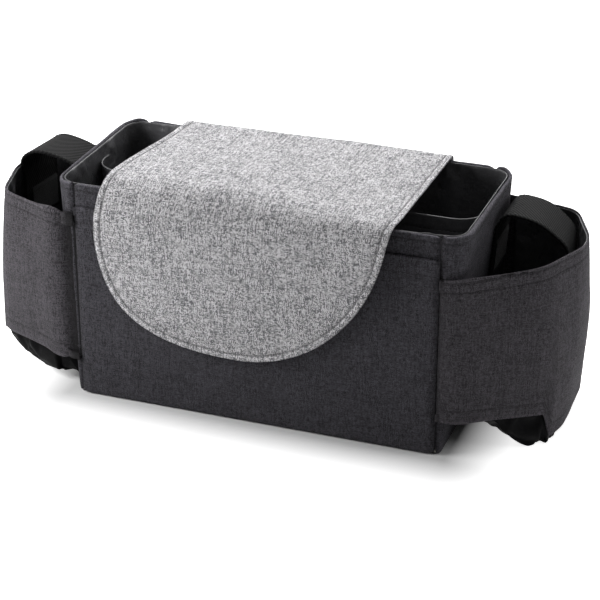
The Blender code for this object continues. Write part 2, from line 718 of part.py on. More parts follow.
def ribbon(name, pocket, stretch, width, offsets, kind):
    """A flat band along a stretch (start, end) of the strap's path, between two offsets from it.

    The strap's far edge turns in towards the body as it goes out, to follow the pocket's wall.
    """
    path = strap_path(pocket)
    middle = strap_middle(pocket)
    _, turn_in = strap_hang(pocket)
    total = length_of(path)
    start, end = stretch or (0.0, total)
    count = STRAP_COLUMNS if stretch is None else 2 * CURVE_STEPS
    grids = []
    for offset in offsets:
        points = evenly(inset_path(path, offset, 1), count, start, total - end)
        rows = []
        for edge in (-width / 2, width / 2):
            row = []
            for i, point in enumerate(points):
                free = start + (end - start) * i / (count - 1) - STRAP_SEWN_LENGTH
                share = free / (total - STRAP_SEWN_LENGTH) / STRAP_TURNED_BY
                pull = turn_in * (0.5 + edge / STRAP_WIDTH) * ease(share)
                row.append(Vector((pocket["side"] * (point.x - pull), middle + edge, point.y)))
            rows.append(row)
        grids.append(rows)
    return layered_sheet(name, grids[0], grids[1], kind)


def make_strap(side_name, pocket):
    """A webbing strap, and its hook and loop tapes, which face each other across the pocket."""
    half = WEBBING / 2
    ribbon(side_name + "_strap", pocket, None, STRAP_WIDTH, (-half, half), "webbing")
    tape_width = STRAP_WIDTH - 2 * STRAP_PATCH_MARGIN
    offsets = (-half - TOUCH, -half - TOUCH - PATCH)
    loop = (STRAP_PATCH_MARGIN, STRAP_PATCH_MARGIN + STRAP_PATCH_LENGTH)
    end = length_of(strap_path(pocket)) - STRAP_PATCH_MARGIN
    hook = (end - STRAP_PATCH_LENGTH, end)
    ribbon(side_name + "_strap_loop_patch", pocket, loop, tape_width, offsets, "tape")
    ribbon(side_name + "_strap_hook_patch", pocket, hook, tape_width, offsets, "tape")


def set_on_origin():
    """Parents every piece to one empty, and puts the origin under the middle of the whole object."""
    pieces = list(bpy.context.scene.collection.objects)
    corners = [vert.co for piece in pieces for vert in piece.data.vertices]
    low = [min(corner[axis] for corner in corners) for axis in range(3)]
    high = [max(corner[axis] for corner in corners) for axis in range(3)]
    organizer = bpy.data.objects.new("organizer", None)
    bpy.context.scene.collection.objects.link(organizer)
    for piece in pieces:
        piece.parent = organizer
    organizer.location = (-(low[0] + high[0]) / 2, -(low[1] + high[1]) / 2, -low[2])


def main():
    clear_scene()
    make_body()
    make_front_pocket()
    make_inner_pocket()
    make_flap()
    for side_name, pocket in (("left", LEFT_POCKET), ("right", RIGHT_POCKET)):
        make_band(side_name, pocket)
        make_pocket_bottom(side_name, pocket)
        make_strap(side_name, pocket)
    set_on_origin()


main()
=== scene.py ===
"""Dresses the stroller organizer: woven walls, flap, linings, webbing, turned edges and stitching."""

import math

import bpy
import numpy as np
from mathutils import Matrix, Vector
from mathutils.geometry import delaunay_2d_cdt, interpolate_bezier


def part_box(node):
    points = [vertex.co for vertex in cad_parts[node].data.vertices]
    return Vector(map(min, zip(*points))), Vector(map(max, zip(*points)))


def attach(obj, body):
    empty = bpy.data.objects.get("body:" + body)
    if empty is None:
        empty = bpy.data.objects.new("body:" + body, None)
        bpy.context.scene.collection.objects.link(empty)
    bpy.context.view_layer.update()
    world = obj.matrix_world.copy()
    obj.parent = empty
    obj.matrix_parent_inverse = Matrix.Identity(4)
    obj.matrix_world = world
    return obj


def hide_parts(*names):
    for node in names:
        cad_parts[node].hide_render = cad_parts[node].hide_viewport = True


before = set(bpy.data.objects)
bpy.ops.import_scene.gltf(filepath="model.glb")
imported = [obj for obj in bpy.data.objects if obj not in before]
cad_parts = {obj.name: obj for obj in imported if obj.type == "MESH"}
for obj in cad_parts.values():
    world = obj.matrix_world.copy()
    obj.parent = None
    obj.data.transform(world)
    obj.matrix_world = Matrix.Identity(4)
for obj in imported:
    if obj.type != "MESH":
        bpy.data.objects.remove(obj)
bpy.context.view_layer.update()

# Sizes are in metres. Shapes are worked out about the box's own middle, then moved to MIDDLE.
GAP = 0.0003
CLOTH = 0.0009
LINING = 0.0006
CORNER_AT_BASE = 0.004
FACE_STEP = 0.0018  # grid spacing on large faces

front_low, front_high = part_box("front_panel")
back_low, back_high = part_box("back_panel")
side_low, side_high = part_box("right_side_panel")
pocket_low, pocket_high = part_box("front_pocket")
inner_low, inner_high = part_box("inner_pocket")
MIDDLE = np.array([(front_low[0] + front_high[0]) / 2, (front_low[1] + back_high[1]) / 2, 0.0])
SEAM_X = (front_high[0] - front_low[0]) / 2 + GAP
HALF_DEPTH = (back_high[1] - front_low[1]) / 2
RIM = front_high[2]
FOOT = front_low[2]
CORNER_AT_RIM = side_high[0] - MIDDLE[0] - SEAM_X
POCKET_TOP = pocket_high[2]
INNER_TOP = inner_high[2]
INNER_FORWARD = MIDDLE[1] - inner_low[1]
INNER_ENDS_BACK = inner_high[1] - MIDDLE[1]

# Turned edges and rows of stitching, with distances along the cloth from its foot
WALL_ROLL = 0.0017
BAND_ROLL = 0.00065
RIM_STITCH = 0.0042
WALL_STITCH = RIM - FOOT - RIM_STITCH
WALL_FOLD = RIM - FOOT + 0.57 * WALL_ROLL
HEM_DEPTH = 0.011
SEAM_DIP = 0.0013
SEAM_REACH = 0.0022
GROOVE_WIDTH = 0.0008
STITCH_PITCH = 0.0030
STITCH_LENGTH = 0.0023
THREAD = 0.00021

FRONT_POCKET_BULGE = 0.0020
FRONT_POCKET_STANDS_OFF = 0.0014

# Base and lining
BASE_INSET = 0.0013
BASE_TURNS_UP = (0.0035, 0.0022)  # heights of its edge inside the walls
LINING_INSET = 0.0038
LINING_FOOT = 0.0045

# Flap
FLAP_SHELL = 0.0013
FLAP_STACK = LINING + GAP + FLAP_SHELL
FLAP_FOOT = RIM - 0.020
FLAP_ABOVE_RIM = 0.0015
FLAP_LEFT_AT_BACK = 0.099
FLAP_LEFT_AT_RIM = 0.109
FLAP_RIGHT_AT_BACK = 0.0995
FLAP_RIGHT_AT_RIM = 0.0965
FLAP_BENDS = ((0.027, 0.1682, -0.0765), (0.013, 0.1645, -0.0775))  # radius, top and front, at either side
FLAP_BENDS_SHARPER = (-0.02, 0.09)  # across, from where to where it changes from one to the other
FLAP_RIGHT_SHOULDER = (0.0998, 0.030)  # its right edge there, above where it starts to round in
FLAP_RISES_FROM = 0.045
FLAP_DROP = 0.1128
FLAP_ROUND_LENGTH = 0.1005
FLAP_TIP_STANDS_OFF = 0.0058
FLAP_FLAT_END = 0.0385  # length above its tip that hangs straight
FLAP_PAST_TIP = 0.010  # how much further its section is drawn
FLAP_TIP_LEFT = 0.009
FLAP_LEFT_CURVE = (0.0127, 0.085, 0.060)
FLAP_RIGHT_CURVE = (-0.0135, 0.0672, 0.0440)
FLAP_STITCH = 0.0044
FLAP_TOP = RIM + FLAP_ABOVE_RIM + FLAP_STACK
FLAP_BACK_Y = HALF_DEPTH + GAP + FLAP_STACK
FLAP_TIP_Y = -HALF_DEPTH - FLAP_TIP_STANDS_OFF - FLAP_STACK
FLAP_TIP = FLAP_TOP - FLAP_DROP

# Cup pockets. Their lower corners stand further out than the CAD's, to meet the photo's outline.
STRAP_WIDTH = 0.038
STRAP_SEWN_LENGTH = 0.036
STRAP_CLEARANCE = 0.0015
STRAP_TURNED_BY = 0.65
WEBBING = 0.0016
OUTER_LAYER = 0.0013
POCKET_HEM = 0.009
POCKET_MIDDLE = 0.13
BAND_STITCH = 0.0022  # below the rim
BAND_CALM_BELOW_RIM = 0.014  # where the rows of points stop following the hem's slant
LINED_FROM = 0.07  # share along the band where its lining and bottom start, and end as far from its end
RIM_PLACES = (0.0, 0.45, 0.75, 1.0)
HEM_PLACES = (0.0, 0.31, 0.35, 1.0)
RIGHT_POCKET = {
    "side": 1,
    "bulge": 0.0048,
    "rim_corners": [(0.008, 0.0, 0.012), (0.061, 0.0318, 0.030), (0.0834, 0.0768, 0.045)],
    "rim_back_corner": (0.060, 0.018),
    "hem_corners": [(0.0127, 0.0, 0.012), (0.0677, 0.036, 0.014), (0.0742, 0.060, 0.040)],
    "hem_back_corner": (0.0727, 0.018),
    "rim_heights": (0.131, 0.137, 0.136, 0.140),
    "hem_heights": (0.026, 0.026, 0.006, 0.006),
    "bottom_at_body": 0.022,
    "sag": (0.28, 0.10, 0.026),
    "strap_from_back": 0.0355,
    "strap_leaves": 0.137,
    "strap_over": [(0.005, 0.0085), (0.012, 0.011), (0.028, 0.008)],
    "strap_down": [(0.011, 0.001), (0.002, -0.008), (0.0, -0.025), (0.0, -0.042)],
    "strap_off_wall": 0.010,
}
LEFT_POCKET = {
    "side": -1,
    "bulge": 0.0020,
    "rim_corners": [(0.0177, 0.0, 0.025), (0.0637, 0.0188, 0.018), (0.0765, 0.0668, 0.050)],
    "rim_back_corner": (0.062, 0.020),
    "hem_corners": [(0.0127, 0.0013, 0.015), (0.0735, 0.0268, 0.025), (0.0890, 0.0548, 0.040)],
    "hem_back_corner": (0.072, 0.018),
    "rim_heights": (0.139, 0.140, 0.133, 0.136),
    "hem_heights": (0.026, 0.026, 0.022, 0.004),
    "bottom_at_body": 0.006,
    "sag": (0.08, 0.24, 0.022),
    "strap_from_back": 0.0465,
    "strap_leaves": 0.130,
    "strap_over": [(0.0093, 0.010), (0.0235, 0.0172)],
    "strap_down": [
        (0.0125, 0.0208), (0.0016, 0.0170), (-0.0024, 0.0108), (-0.0006, 0.003), (0.0, -0.012), (0.0, -0.035),
    ],
    "strap_off_wall": 0.0018,
}


def ease(share):
    share = np.clip(share, 0.0, 1.0)
    return share * share * (3 - 2 * share)


def ripple(u, v, size_u, size_v, seed):
    """Smooth random heights between -1 and 1, with bumps of about the given size in each direction."""
    count = 64
    lattice = np.random.default_rng(seed).uniform(-1, 1, (count, count))
    x = np.asarray(u) / size_u + 1000.5
    y = np.asarray(v) / size_v + 1000.5
    i = np.floor(x).astype(int)
    j = np.floor(y).astype(int)
    a = ease(x - i)
    b = ease(y - j)
    i0, i1, j0, j1 = i % count, (i + 1) % count, j % count, (j + 1) % count
    low = lattice[i0, j0] * (1 - a) + lattice[i1, j0] * a
    high = lattice[i0, j1] * (1 - a) + lattice[i1, j1] * a
    return low * (1 - b) + high * b


def bell(distance, width):
    return np.exp(-((distance / width) ** 2))


def lengths_along(path):
    steps = np.linalg.norm(np.diff(path, axis=0), axis=1)
    return np.concatenate([[0.0], np.cumsum(steps)])


def at_lengths(path, places):
    """Points of a polyline at the given distances along it."""
    along = lengths_along(path)
    return np.stack([np.interp(places, along, path[:, k]) for k in range(path.shape[1])], axis=1)


def resample(path, count):
    return at_lengths(path, np.linspace(0, lengths_along(path)[-1], count))


def fillet(corners, steps=14):
    """A path through the corners (x, y, radius), with each inner corner rounded."""
    path = [np.array(corners[0][:2])]
    for before, corner, after in zip(corners, corners[1:], corners[2:]):
        here = Vector(corner[:2])
        back = (Vector(before[:2]) - here).normalized()
        ahead = (Vector(after[:2]) - here).normalized()
        turn = math.pi - back.angle(ahead)
        reach = corner[2] * math.tan(turn / 2)
        middle = here + (back + ahead).normalized() * (corner[2] / math.cos(turn / 2))
        first = here + back * reach - middle
        last = here + ahead * reach - middle
        for step in range(steps + 1):
            path.append(np.array(middle + first.slerp(last, step / steps) * corner[2]))
    path.append(np.array(corners[-1][:2]))
    return np.array(path)


def smooth_through(points, steps):
    """A smooth open curve through the points."""
    points = [Vector(point) for point in points]
    ends = [points[0] * 2 - points[1]] + points + [points[-1] * 2 - points[-2]]
    curve = []
    for a, b, c, d in zip(ends, ends[1:], ends[2:], ends[3:]):
        curve += interpolate_bezier(b, b + (c - a) / 6, c - (d - b) / 6, c, steps + 1)[:-1]
    return np.array(curve + [points[-1]])


def normals_of(grid):
    """Unit normals of a grid of points, from rows to columns."""
    across = np.gradient(grid, axis=1)
    along = np.gradient(grid, axis=0)
    normal = np.cross(across, along)
    return normal / np.maximum(np.linalg.norm(normal, axis=2, keepdims=True), 1e-12)


def spread(grid):
    """Distances over the cloth of a grid of points: along each row, and along each column."""
    across = np.linalg.norm(np.diff(grid, axis=1), axis=2).mean(axis=0)
    along = np.linalg.norm(np.diff(grid, axis=0), axis=2).mean(axis=1)
    u = np.concatenate([[0.0], np.cumsum(across)])
    v = np.concatenate([[0.0], np.cumsum(along)])
    return np.meshgrid(u, v)


def piece(name, points, faces, cloth_uv, material, nodes=(), tone=None):
    """A mesh object that rides with the part, with its place on the cloth kept as a UV map in metres.

    tone tells for each point how much lighter or darker the cloth is there: painted highlights on folded edges,
    partly wear, and painted shade in seams and rows of stitching.
    """
    points = np.asarray(points) + MIDDLE
    faces = [tuple(int(i) for i in face) for face in faces]
    mesh = bpy.data.meshes.new(name)
    mesh.from_pydata(points.tolist(), [], faces)
    mesh.update()
    triangles = np.array([[f[0], f[k], f[k + 1]] for f in faces for k in range(1, len(f) - 1)])
    a, b, c = (points[triangles[:, k]] - points.mean(axis=0) for k in range(3))
    if np.einsum("ij,ij->i", a, np.cross(b, c)).sum() < 0:
        mesh.flip_normals()
    corner = np.empty(len(mesh.loops), np.int32)
    mesh.loops.foreach_get("vertex_index", corner)
    tone = np.ones(len(points)) if tone is None else tone
    for layer, values in (("cloth", cloth_uv), ("tone", np.stack([tone, tone], axis=1))):
        mesh.uv_layers.new(name=layer).data.foreach_set("uv", np.asarray(values, np.float32)[corner].ravel())
    mesh.materials.append(material)
    mesh.shade_smooth()
    made = bpy.data.objects.new(name, mesh)
    bpy.context.scene.collection.objects.link(made)
    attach(made, "root")
    if nodes:
        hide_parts(*nodes)
    return made


def finer(grid, rows, columns):
    """The grid with more rows and columns, on smooth curves through its points."""
    for axis, count in ((0, rows), (1, columns)):
        last = grid.shape[axis] - 1
        place = np.linspace(0, last, count)
        low = np.minimum(np.floor(place).astype(int), last - 1)
        shape = [1] * grid.ndim
        shape[axis] = count
        t = (place - low).reshape(shape)
        a, b, c, d = (np.take(grid, np.clip(low + k, 0, last), axis=axis) for k in (-1, 0, 1, 2))
        grid = b + 0.5 * t * (c - a + t * (2 * a - 5 * b + 4 * c - d + t * (3 * (b - c) + d - a)))
    return grid


def settled(grid, firm_side, held, growth, reach, closed=False, steps=22):
    """A slack cloth's grid once it has settled under its own weight.

    Held points stay. The others can't move towards the firm side, and go no further than reach.
    """
    rows, columns = grid.shape[:2]
    index = np.arange(rows * columns).reshape(rows, columns)
    if closed:
        index = np.concatenate([index, index[:, :1]], axis=1)
    faces = np.stack([index[:-1, :-1], index[:-1, 1:], index[1:, 1:], index[1:, :-1]], axis=-1).reshape(-1, 4)
    mesh = bpy.data.meshes.new("slack")
    mesh.from_pydata(grid.reshape(-1, 3).tolist(), [], faces.tolist())
    slack = bpy.data.objects.new("slack", mesh)
    bpy.context.scene.collection.objects.link(slack)
    pins = slack.vertex_groups.new(name="held")
    pins.add([int(i) for i in np.flatnonzero(held.ravel())], 1.0, "REPLACE")
    cloth = slack.modifiers.new("cloth", "CLOTH")
    cloth.settings.vertex_group_mass = "held"
    cloth.settings.shrink_min = -growth
    cloth.settings.quality = 6
    cloth.settings.mass = 0.1
    cloth.settings.bending_stiffness = 0.02
    cloth.settings.effector_weights.gravity = 0.4
    cloth.collision_settings.use_collision = False
    cloth.point_cache.frame_end = steps
    for step in range(1, steps + 1):
        bpy.context.scene.frame_set(step)
    shaped = slack.evaluated_get(bpy.context.evaluated_depsgraph_get())
    moved = np.empty(rows * columns * 3, np.float32)
    shaped.data.vertices.foreach_get("co", moved)
    bpy.data.objects.remove(slack)
    bpy.context.scene.frame_set(1)
    step = moved.reshape(grid.shape) - grid
    length = np.linalg.norm(step, axis=2, keepdims=True)
    step *= reach / np.maximum(length, reach)
    towards = np.maximum((step * firm_side).sum(axis=2, keepdims=True), 0.0)
    return grid + step - firm_side * towards


def held_at_edges(grid):
    held = np.zeros(grid.shape[:2], bool)
    held[0] = held[-1] = True
    held[:, 0] = held[:, -1] = True
    return held


def facing_normals(grid, outward):
    """Unit normals of a grid of points, turned to its outer side."""
    normals = normals_of(grid)
    return normals * (1.0 if (normals * outward).sum() > 0 else -1.0)


def sheet(
    name, grid, thickness, outward, material, nodes=(), relief=None, tone=None,
):
    """A closed cloth sheet whose outer face is a grid of points, with rounded edges.

    outward is a direction, or one for each point, that tells its outer side. relief and tone give the
    height over the grid and the cloth's tone from (u, v), the distances along the cloth. Gives back the
    outer face with its relief, its normals and v.
    """
    normals = facing_normals(grid, outward)
    u, v = spread(grid)
    if relief is not None:
        grid = grid + normals * relief(u, v)[..., None]
        normals = facing_normals(grid, outward)
    rows, columns = grid.shape[:2]
    inner = grid - normals * thickness
    count = rows * columns
    points = [grid.reshape(-1, 3), inner.reshape(-1, 3)]
    uv = [np.stack([u, v], axis=2).reshape(-1, 2)] * 2
    index = np.arange(count).reshape(rows, columns)
    square = np.stack([index[:-1, :-1], index[:-1, 1:], index[1:, 1:], index[1:, :-1]], axis=-1).reshape(-1, 4)
    faces = square.tolist() + (square[:, ::-1] + count).tolist()
    border = list(index[0]) + list(index[1:, -1]) + list(index[-1, -2::-1]) + list(index[-2:0:-1, 0])
    flat = grid.reshape(-1, 3)
    back = inner.reshape(-1, 3)
    edge = []
    for k, i in enumerate(border):
        before, after = flat[border[k - 1]], flat[border[(k + 1) % len(border)]]
        along = after - before
        out = np.cross(along, flat[i] - back[i])
        out /= max(np.linalg.norm(out), 1e-12)
        edge.append((flat[i] + back[i]) / 2 + out * thickness * 0.35)
    edge = np.array(edge)
    step = edge[0] - (flat[border[0]] + back[border[0]]) / 2
    if np.dot(step, flat[border[0]] - flat[index[1, 1]]) < 0:
        halves = (flat[border] + back[border]) / 2
        edge = 2 * halves - edge
    points.append(edge)
    uv.append(uv[0][border])
    tones = np.ones(count) if tone is None else tone(u, v).ravel()
    tones = np.concatenate([tones, tones, tones[border]])
    first = 2 * count
    for k in range(len(border)):
        m = (k + 1) % len(border)
        faces.append((border[m], border[k], first + k, first + m))
        faces.append((first + m, first + k, border[k] + count, border[m] + count))
    made = piece(name, np.concatenate(points), faces, np.concatenate(uv), material, nodes, tones)
    return grid, normals, v


STITCH_RINGS = ((-1.0, 0.35, -1.2), (-0.6, 0.9, 0.2), (0.0, 1.0, 0.5), (0.6, 0.9, 0.2), (1.0, 0.35, -1.2))
STITCH_SIDES = 6


class Thread:
    """Rows of stitches that go into one piece."""

    def __init__(self, name, material, slot):
        self.name = name
        self.material = material
        self.slot = slot
        self.points = []
        self.faces = []

    def row(self, path, normals, pitch=STITCH_PITCH, start=0.0015):
        """Stitches along a path that lies on the cloth."""
        total = lengths_along(path)[-1]
        places = np.arange(start, total - start, pitch)
        along = lengths_along(path)
        ahead = np.gradient(path, axis=0)
        for place in places:
            centre, tangent, normal = (
                np.array([np.interp(place, along, values[:, k]) for k in range(3)])
                for values in (path, ahead, normals)
            )
            self.stitch(centre, tangent / np.linalg.norm(tangent), normal / np.linalg.norm(normal))

    def stitch(self, centre, tangent, normal):
        across = np.cross(tangent, normal)
        base = len(self.points)
        for place, thick, lift in STITCH_RINGS:
            ring = centre + tangent * place * STITCH_LENGTH / 2 + normal * lift * THREAD
            for k in range(STITCH_SIDES):
                turn = 2 * math.pi * k / STITCH_SIDES
                spoke = across * math.cos(turn) + normal * math.sin(turn)
                self.points.append(ring + spoke * THREAD * thick)
        for i in range(len(STITCH_RINGS) - 1):
            for k in range(STITCH_SIDES):
                m = (k + 1) % STITCH_SIDES
                low, high = base + i * STITCH_SIDES, base + (i + 1) * STITCH_SIDES
                self.faces.append((low + k, low + m, high + m, high + k))
        last = base + (len(STITCH_RINGS) - 1) * STITCH_SIDES
        self.faces.append([base + k for k in range(STITCH_SIDES)][::-1])
        self.faces.append([last + k for k in range(STITCH_SIDES)])

    def make(self):
        points = np.array(self.points)
        return piece(self.name, points, self.faces, points[:, [0, 2]], self.material)


class Number:
    """A number in a material's nodes, which arithmetic works on."""

    def __init__(self, shade, socket):
        self.shade = shade
        self.socket = socket

    def __add__(self, other):
        return self.shade.maths("ADD", self, other)

    def __sub__(self, other):
        return self.shade.maths("SUBTRACT", self, other)

    def __mul__(self, other):
        return self.shade.maths("MULTIPLY", self, other)

    def __truediv__(self, other):
        return self.shade.maths("DIVIDE", self, other)


class Shader:
    """Short forms for building one material's nodes."""

    def __init__(self, name):
        self.material = bpy.data.materials.new(name)
        self.material.use_nodes = True
        self.tree = self.material.node_tree
        self.principled = self.tree.nodes["Principled BSDF"]

    def node(self, kind, **settings):
        made = self.tree.nodes.new(kind)
        for key, value in settings.items():
            setattr(made, key, value)
        return made

    def feed(self, socket, value):
        value = value.socket if isinstance(value, Number) else value
        if isinstance(value, bpy.types.NodeSocket):
            self.tree.links.new(value, socket)
        else:
            socket.default_value = value

    def feed_all(self, made, values):
        for socket, value in zip(made.inputs, values):
            self.feed(socket, value)
        return made.outputs[0]

    def maths(self, operation, *values):
        return Number(self, self.feed_all(self.node("ShaderNodeMath", operation=operation), values))

    def vector(self, x, y, z=0.0):
        return self.feed_all(self.node("ShaderNodeCombineXYZ"), (x, y, z))

    def ranged(self, value, low, high, to_low, to_high):
        return Number(self, self.feed_all(self.node("ShaderNodeMapRange"), (value, low, high, to_low, to_high)))

    def tinted(self, tone, colour):
        """The colour (red, green, blue), times a number."""
        return self.feed_all(self.node("ShaderNodeCombineColor"), [tone * part for part in colour])

    def noise(self, vector, scale, detail=2.0, roughness=0.5):
        made = self.node("ShaderNodeTexNoise")
        self.feed(made.inputs["Vector"], vector)
        made.inputs["Scale"].default_value = scale
        made.inputs["Detail"].default_value = detail
        made.inputs["Roughness"].default_value = roughness
        return Number(self, made.outputs["Fac"])

    def scatter(self, *vector):
        """A random number for each whole vector."""
        made = self.node("ShaderNodeTexWhiteNoise", noise_dimensions="3D")
        self.feed(made.inputs["Vector"], self.vector(*vector))
        return Number(self, made.outputs["Value"])

    def times(self, colour, share):
        """The colour, darkened by a number."""
        made = self.node("ShaderNodeVectorMath", operation="SCALE")
        self.feed(made.inputs["Vector"], colour)
        self.feed(made.inputs["Scale"], share)
        return made.outputs["Vector"]

    def mixed(self, share, a, b):
        """A colour between two, given as tuples, or a number between two."""
        colours = isinstance(a, tuple)
        made = self.node("ShaderNodeMix", data_type="RGBA" if colours else "FLOAT")
        for name, given in (("Factor", share), ("A", a), ("B", b)):
            sockets = [s for s in made.inputs if s.name == name and s.enabled]
            self.feed(sockets[0], given)
        result = [s for s in made.outputs if s.enabled][0]
        return result if colours else Number(self, result)

    def split(self, vector):
        """A vector's x and y."""
        made = self.node("ShaderNodeSeparateXYZ")
        self.feed(made.inputs[0], vector)
        return [Number(self, socket) for socket in made.outputs[:2]]

    def uv(self, name):
        """Values of a UV map: cloth is the place on the cloth in metres, tone the lightness painted on the
        piece, mostly painted highlights and shade.
        """
        return self.split(self.node("ShaderNodeUVMap", uv_map=name).outputs[0])

    def bump(self, height, distance, strength=1.0, under=None):
        made = self.node("ShaderNodeBump")
        self.feed(made.inputs["Height"], height)
        made.inputs["Distance"].default_value = distance
        made.inputs["Strength"].default_value = strength
        if under is not None:
            self.feed(made.inputs["Normal"], under)
        return made.outputs[0]

    def finish(self, colour, normal, roughness, specular=0.25, sheen=0.0):
        self.feed(self.principled.inputs["Base Color"], colour)
        self.feed(self.principled.inputs["Normal"], normal)
        self.feed(self.principled.inputs["Roughness"], roughness)
        self.principled.inputs["Specular IOR Level"].default_value = specular
        self.principled.inputs["Sheen Weight"].default_value = sheen
        self.principled.inputs["Sheen Roughness"].default_value = 0.5
        return self.material


def melange(name, pitch, dark, light, contrast, length, broad, grain, sheen=0.03):
    """Plain weave of mottled yarns. dark and light are the yarns' colours.

    Each yarn changes its tone along its length, grain is how much every crossing differs by itself, and
    broad is how much the tone drifts over the cloth.
    """
    shade = Shader(name)
    u, v = shade.uv("cloth")
    place = shade.vector(u, v)
    sway = (shade.noise(place, 90.0, 2.0) - 0.5) * (0.8 * pitch)
    cell_u = (u + sway) / pitch
    cell_v = (v - sway) / pitch
    warp = shade.maths("FLOOR", cell_u)
    weft = shade.maths("FLOOR", cell_v)
    over = shade.maths("FLOORED_MODULO", warp + weft, 2.0)
    tones = []
    for yarn, along, seed in ((warp, v, 3.0), (weft, u, 17.0)):
        start = shade.scatter(yarn, seed) * 50.0
        mottled = shade.scatter(yarn, shade.maths("FLOOR", along / length + start), seed)
        slub = shade.maths("FLOOR", along / (4.3 * length) + start)
        thick = shade.scatter(yarn, slub, seed + 5.0)
        tones.append(mottled * 0.6 + thick * 0.4)
    tone = shade.mixed(shade.ranged(over, 0.0, 1.0, 0.3, 0.85), tones[1], tones[0])
    tone = shade.mixed(grain, tone, shade.scatter(warp, weft, 29.0))
    wide = (shade.noise(place, 60.0, 3.0) - 0.5) * broad
    share = shade.ranged(tone + wide, 0.5 - contrast, 0.5 + contrast, 0.0, 1.0)
    colour = shade.mixed(share, (*dark, 1.0), (*light, 1.0))
    hump_u = shade.maths("SINE", shade.maths("FRACT", cell_u) * math.pi)
    hump_v = shade.maths("SINE", shade.maths("FRACT", cell_v) * math.pi)
    hump = shade.mixed(over, hump_u * shade.maths("SQRT", hump_v), hump_v * shade.maths("SQRT", hump_u))
    # Darker where each yarn dips at its edges, as painted shade between the yarns, times the piece's painted
    # tone.
    depth = shade.ranged(hump, 0.0, 0.7, 0.6, 1.0) * shade.uv("tone")[0]
    height = hump + shade.noise(place, 9000.0, 1.0) * 0.25
    return shade.finish(shade.times(colour, depth), shade.bump(height, pitch * 0.35), 0.9, 0.2, sheen)


def nylon(name, colour, roughness, specular=0.5):
    """Smooth lining with a very fine weave and small creases."""
    shade = Shader(name)
    u, v = shade.uv("cloth")
    place = shade.vector(u, v)
    turns = 2 * math.pi / 0.00035
    threads = shade.maths("SINE", u * turns) * shade.maths("SINE", v * turns)
    creases = shade.noise(place, 70.0, 4.0, 0.55)
    normal = shade.bump(threads, 0.00005, 0.4, shade.bump(creases, 0.004, 0.5))
    tone = shade.ranged(shade.noise(place, 30.0, 3.0), 0.3, 0.7, 0.75, 1.3)
    rough = shade.ranged(creases, 0.3, 0.7, roughness - 0.06, roughness + 0.10)
    return shade.finish(shade.tinted(tone, colour), normal, rough, specular)


def twill_webbing(name, dark, light):
    """Webbing whose ribs run slantwise in bands."""
    shade = Shader(name)
    u, v = shade.uv("cloth")
    rib = 0.0030
    wave = shade.maths("SINE", (u + v) / rib * (2 * math.pi))
    fine = shade.maths("SINE", (u - v) * (2 * math.pi / 0.0009))
    height = shade.ranged(wave, -1.0, 1.0, 0.0, 1.0) + fine * 0.15
    tone = shade.noise(shade.vector(u / 0.0007, v / 0.004), 1.0)
    share = shade.ranged(height, 0.0, 1.0, 0.15, 1.0) * shade.ranged(tone, 0.3, 0.7, 0.6, 1.1)
    colour = shade.mixed(share, (*dark, 1.0), (*light, 1.0))
    return shade.finish(colour, shade.bump(height, 0.00025), 0.8, 0.12, 0.03)


def plain_fibre(name, colour, size, bump, roughness, spread_of_tone=0.25):
    """Short fibres: felt, tape or thread."""
    shade = Shader(name)
    where = shade.node("ShaderNodeTexCoord").outputs["Object"]
    grain = shade.noise(where, 1.0 / size, 3.0)
    tone = shade.ranged(grain, 0.3, 0.7, 1.0 - spread_of_tone, 1.0 + spread_of_tone)
    return shade.finish(shade.tinted(tone, colour), shade.bump(grain, bump), roughness, 0.2, 0.1)


SHELL_CLOTH = melange(
    "shell_weave", 0.00072, (0.015, 0.0145, 0.0165), (0.104, 0.099, 0.116), 0.34, 0.0024, 0.06, 0.35
)
POCKET_CLOTH = melange(
    "pocket_weave", 0.00072, (0.018, 0.0168, 0.0190), (0.126, 0.116, 0.131), 0.34, 0.0024, 0.06, 0.35
)
FLAP_CLOTH = melange("flap_weave", 0.00070, (0.19, 0.19, 0.202), (0.93, 0.913, 0.935), 0.18, 0.0020, 0.04, 0.34)
LINING_CLOTH = nylon("lining_nylon", (0.085, 0.085, 0.090), 0.30)
BOTTOM_CLOTH = nylon("bottom_nylon", (0.0028, 0.0028, 0.0031), 0.60, 0.05)
WEBBING_CLOTH = twill_webbing("webbing_twill", (0.0008, 0.0008, 0.0009), (0.0105, 0.0105, 0.0110))
DARK_THREAD = plain_fibre("dark_thread", (0.012, 0.012, 0.013), 0.0004, 0.0001, 0.6)
GREY_THREAD = plain_fibre("grey_thread", (0.30, 0.30, 0.31), 0.0004, 0.0001, 0.6)
TAPE_FIBRE = plain_fibre("tape_fibre", (0.012, 0.012, 0.013), 0.0006, 0.0004, 0.95)
FOAM_FIBRE = plain_fibre("foam_fibre", (0.75, 0.75, 0.73), 0.0012, 0.0003, 0.95, 0.08)
BOARD_FIBRE = plain_fibre("board_fibre", (0.60, 0.58, 0.52), 0.0020, 0.0002, 0.75, 0.10)


def corner_radius(z):
    share = np.clip(z / RIM, 0, 1)
    return CORNER_AT_BASE + (CORNER_AT_RIM - CORNER_AT_BASE) * share


def wall_x(z):
    return SEAM_X + corner_radius(z)


def side_plan(side, z, inset):
    """Plan of one end of the body, from its front seam to its back seam."""
    radius = max(corner_radius(z) - inset, 0.0006)
    middle_x = wall_x(z) - inset - radius
    middle_y = HALF_DEPTH - inset - radius
    turns = np.linspace(0, math.pi / 2, 13)
    front = np.stack([side * (middle_x + radius * np.sin(turns)), -middle_y - radius * np.cos(turns)], axis=1)
    back = front[::-1] * (1, -1)
    return np.concatenate([front, back])


def body_loop(z, inset, count):
    """Points evenly round the whole body, back to the first."""
    loop = np.concatenate([side_plan(1, z, inset), side_plan(-1, z, inset)[::-1]])
    return resample(np.concatenate([loop, loop[:1]]), count)


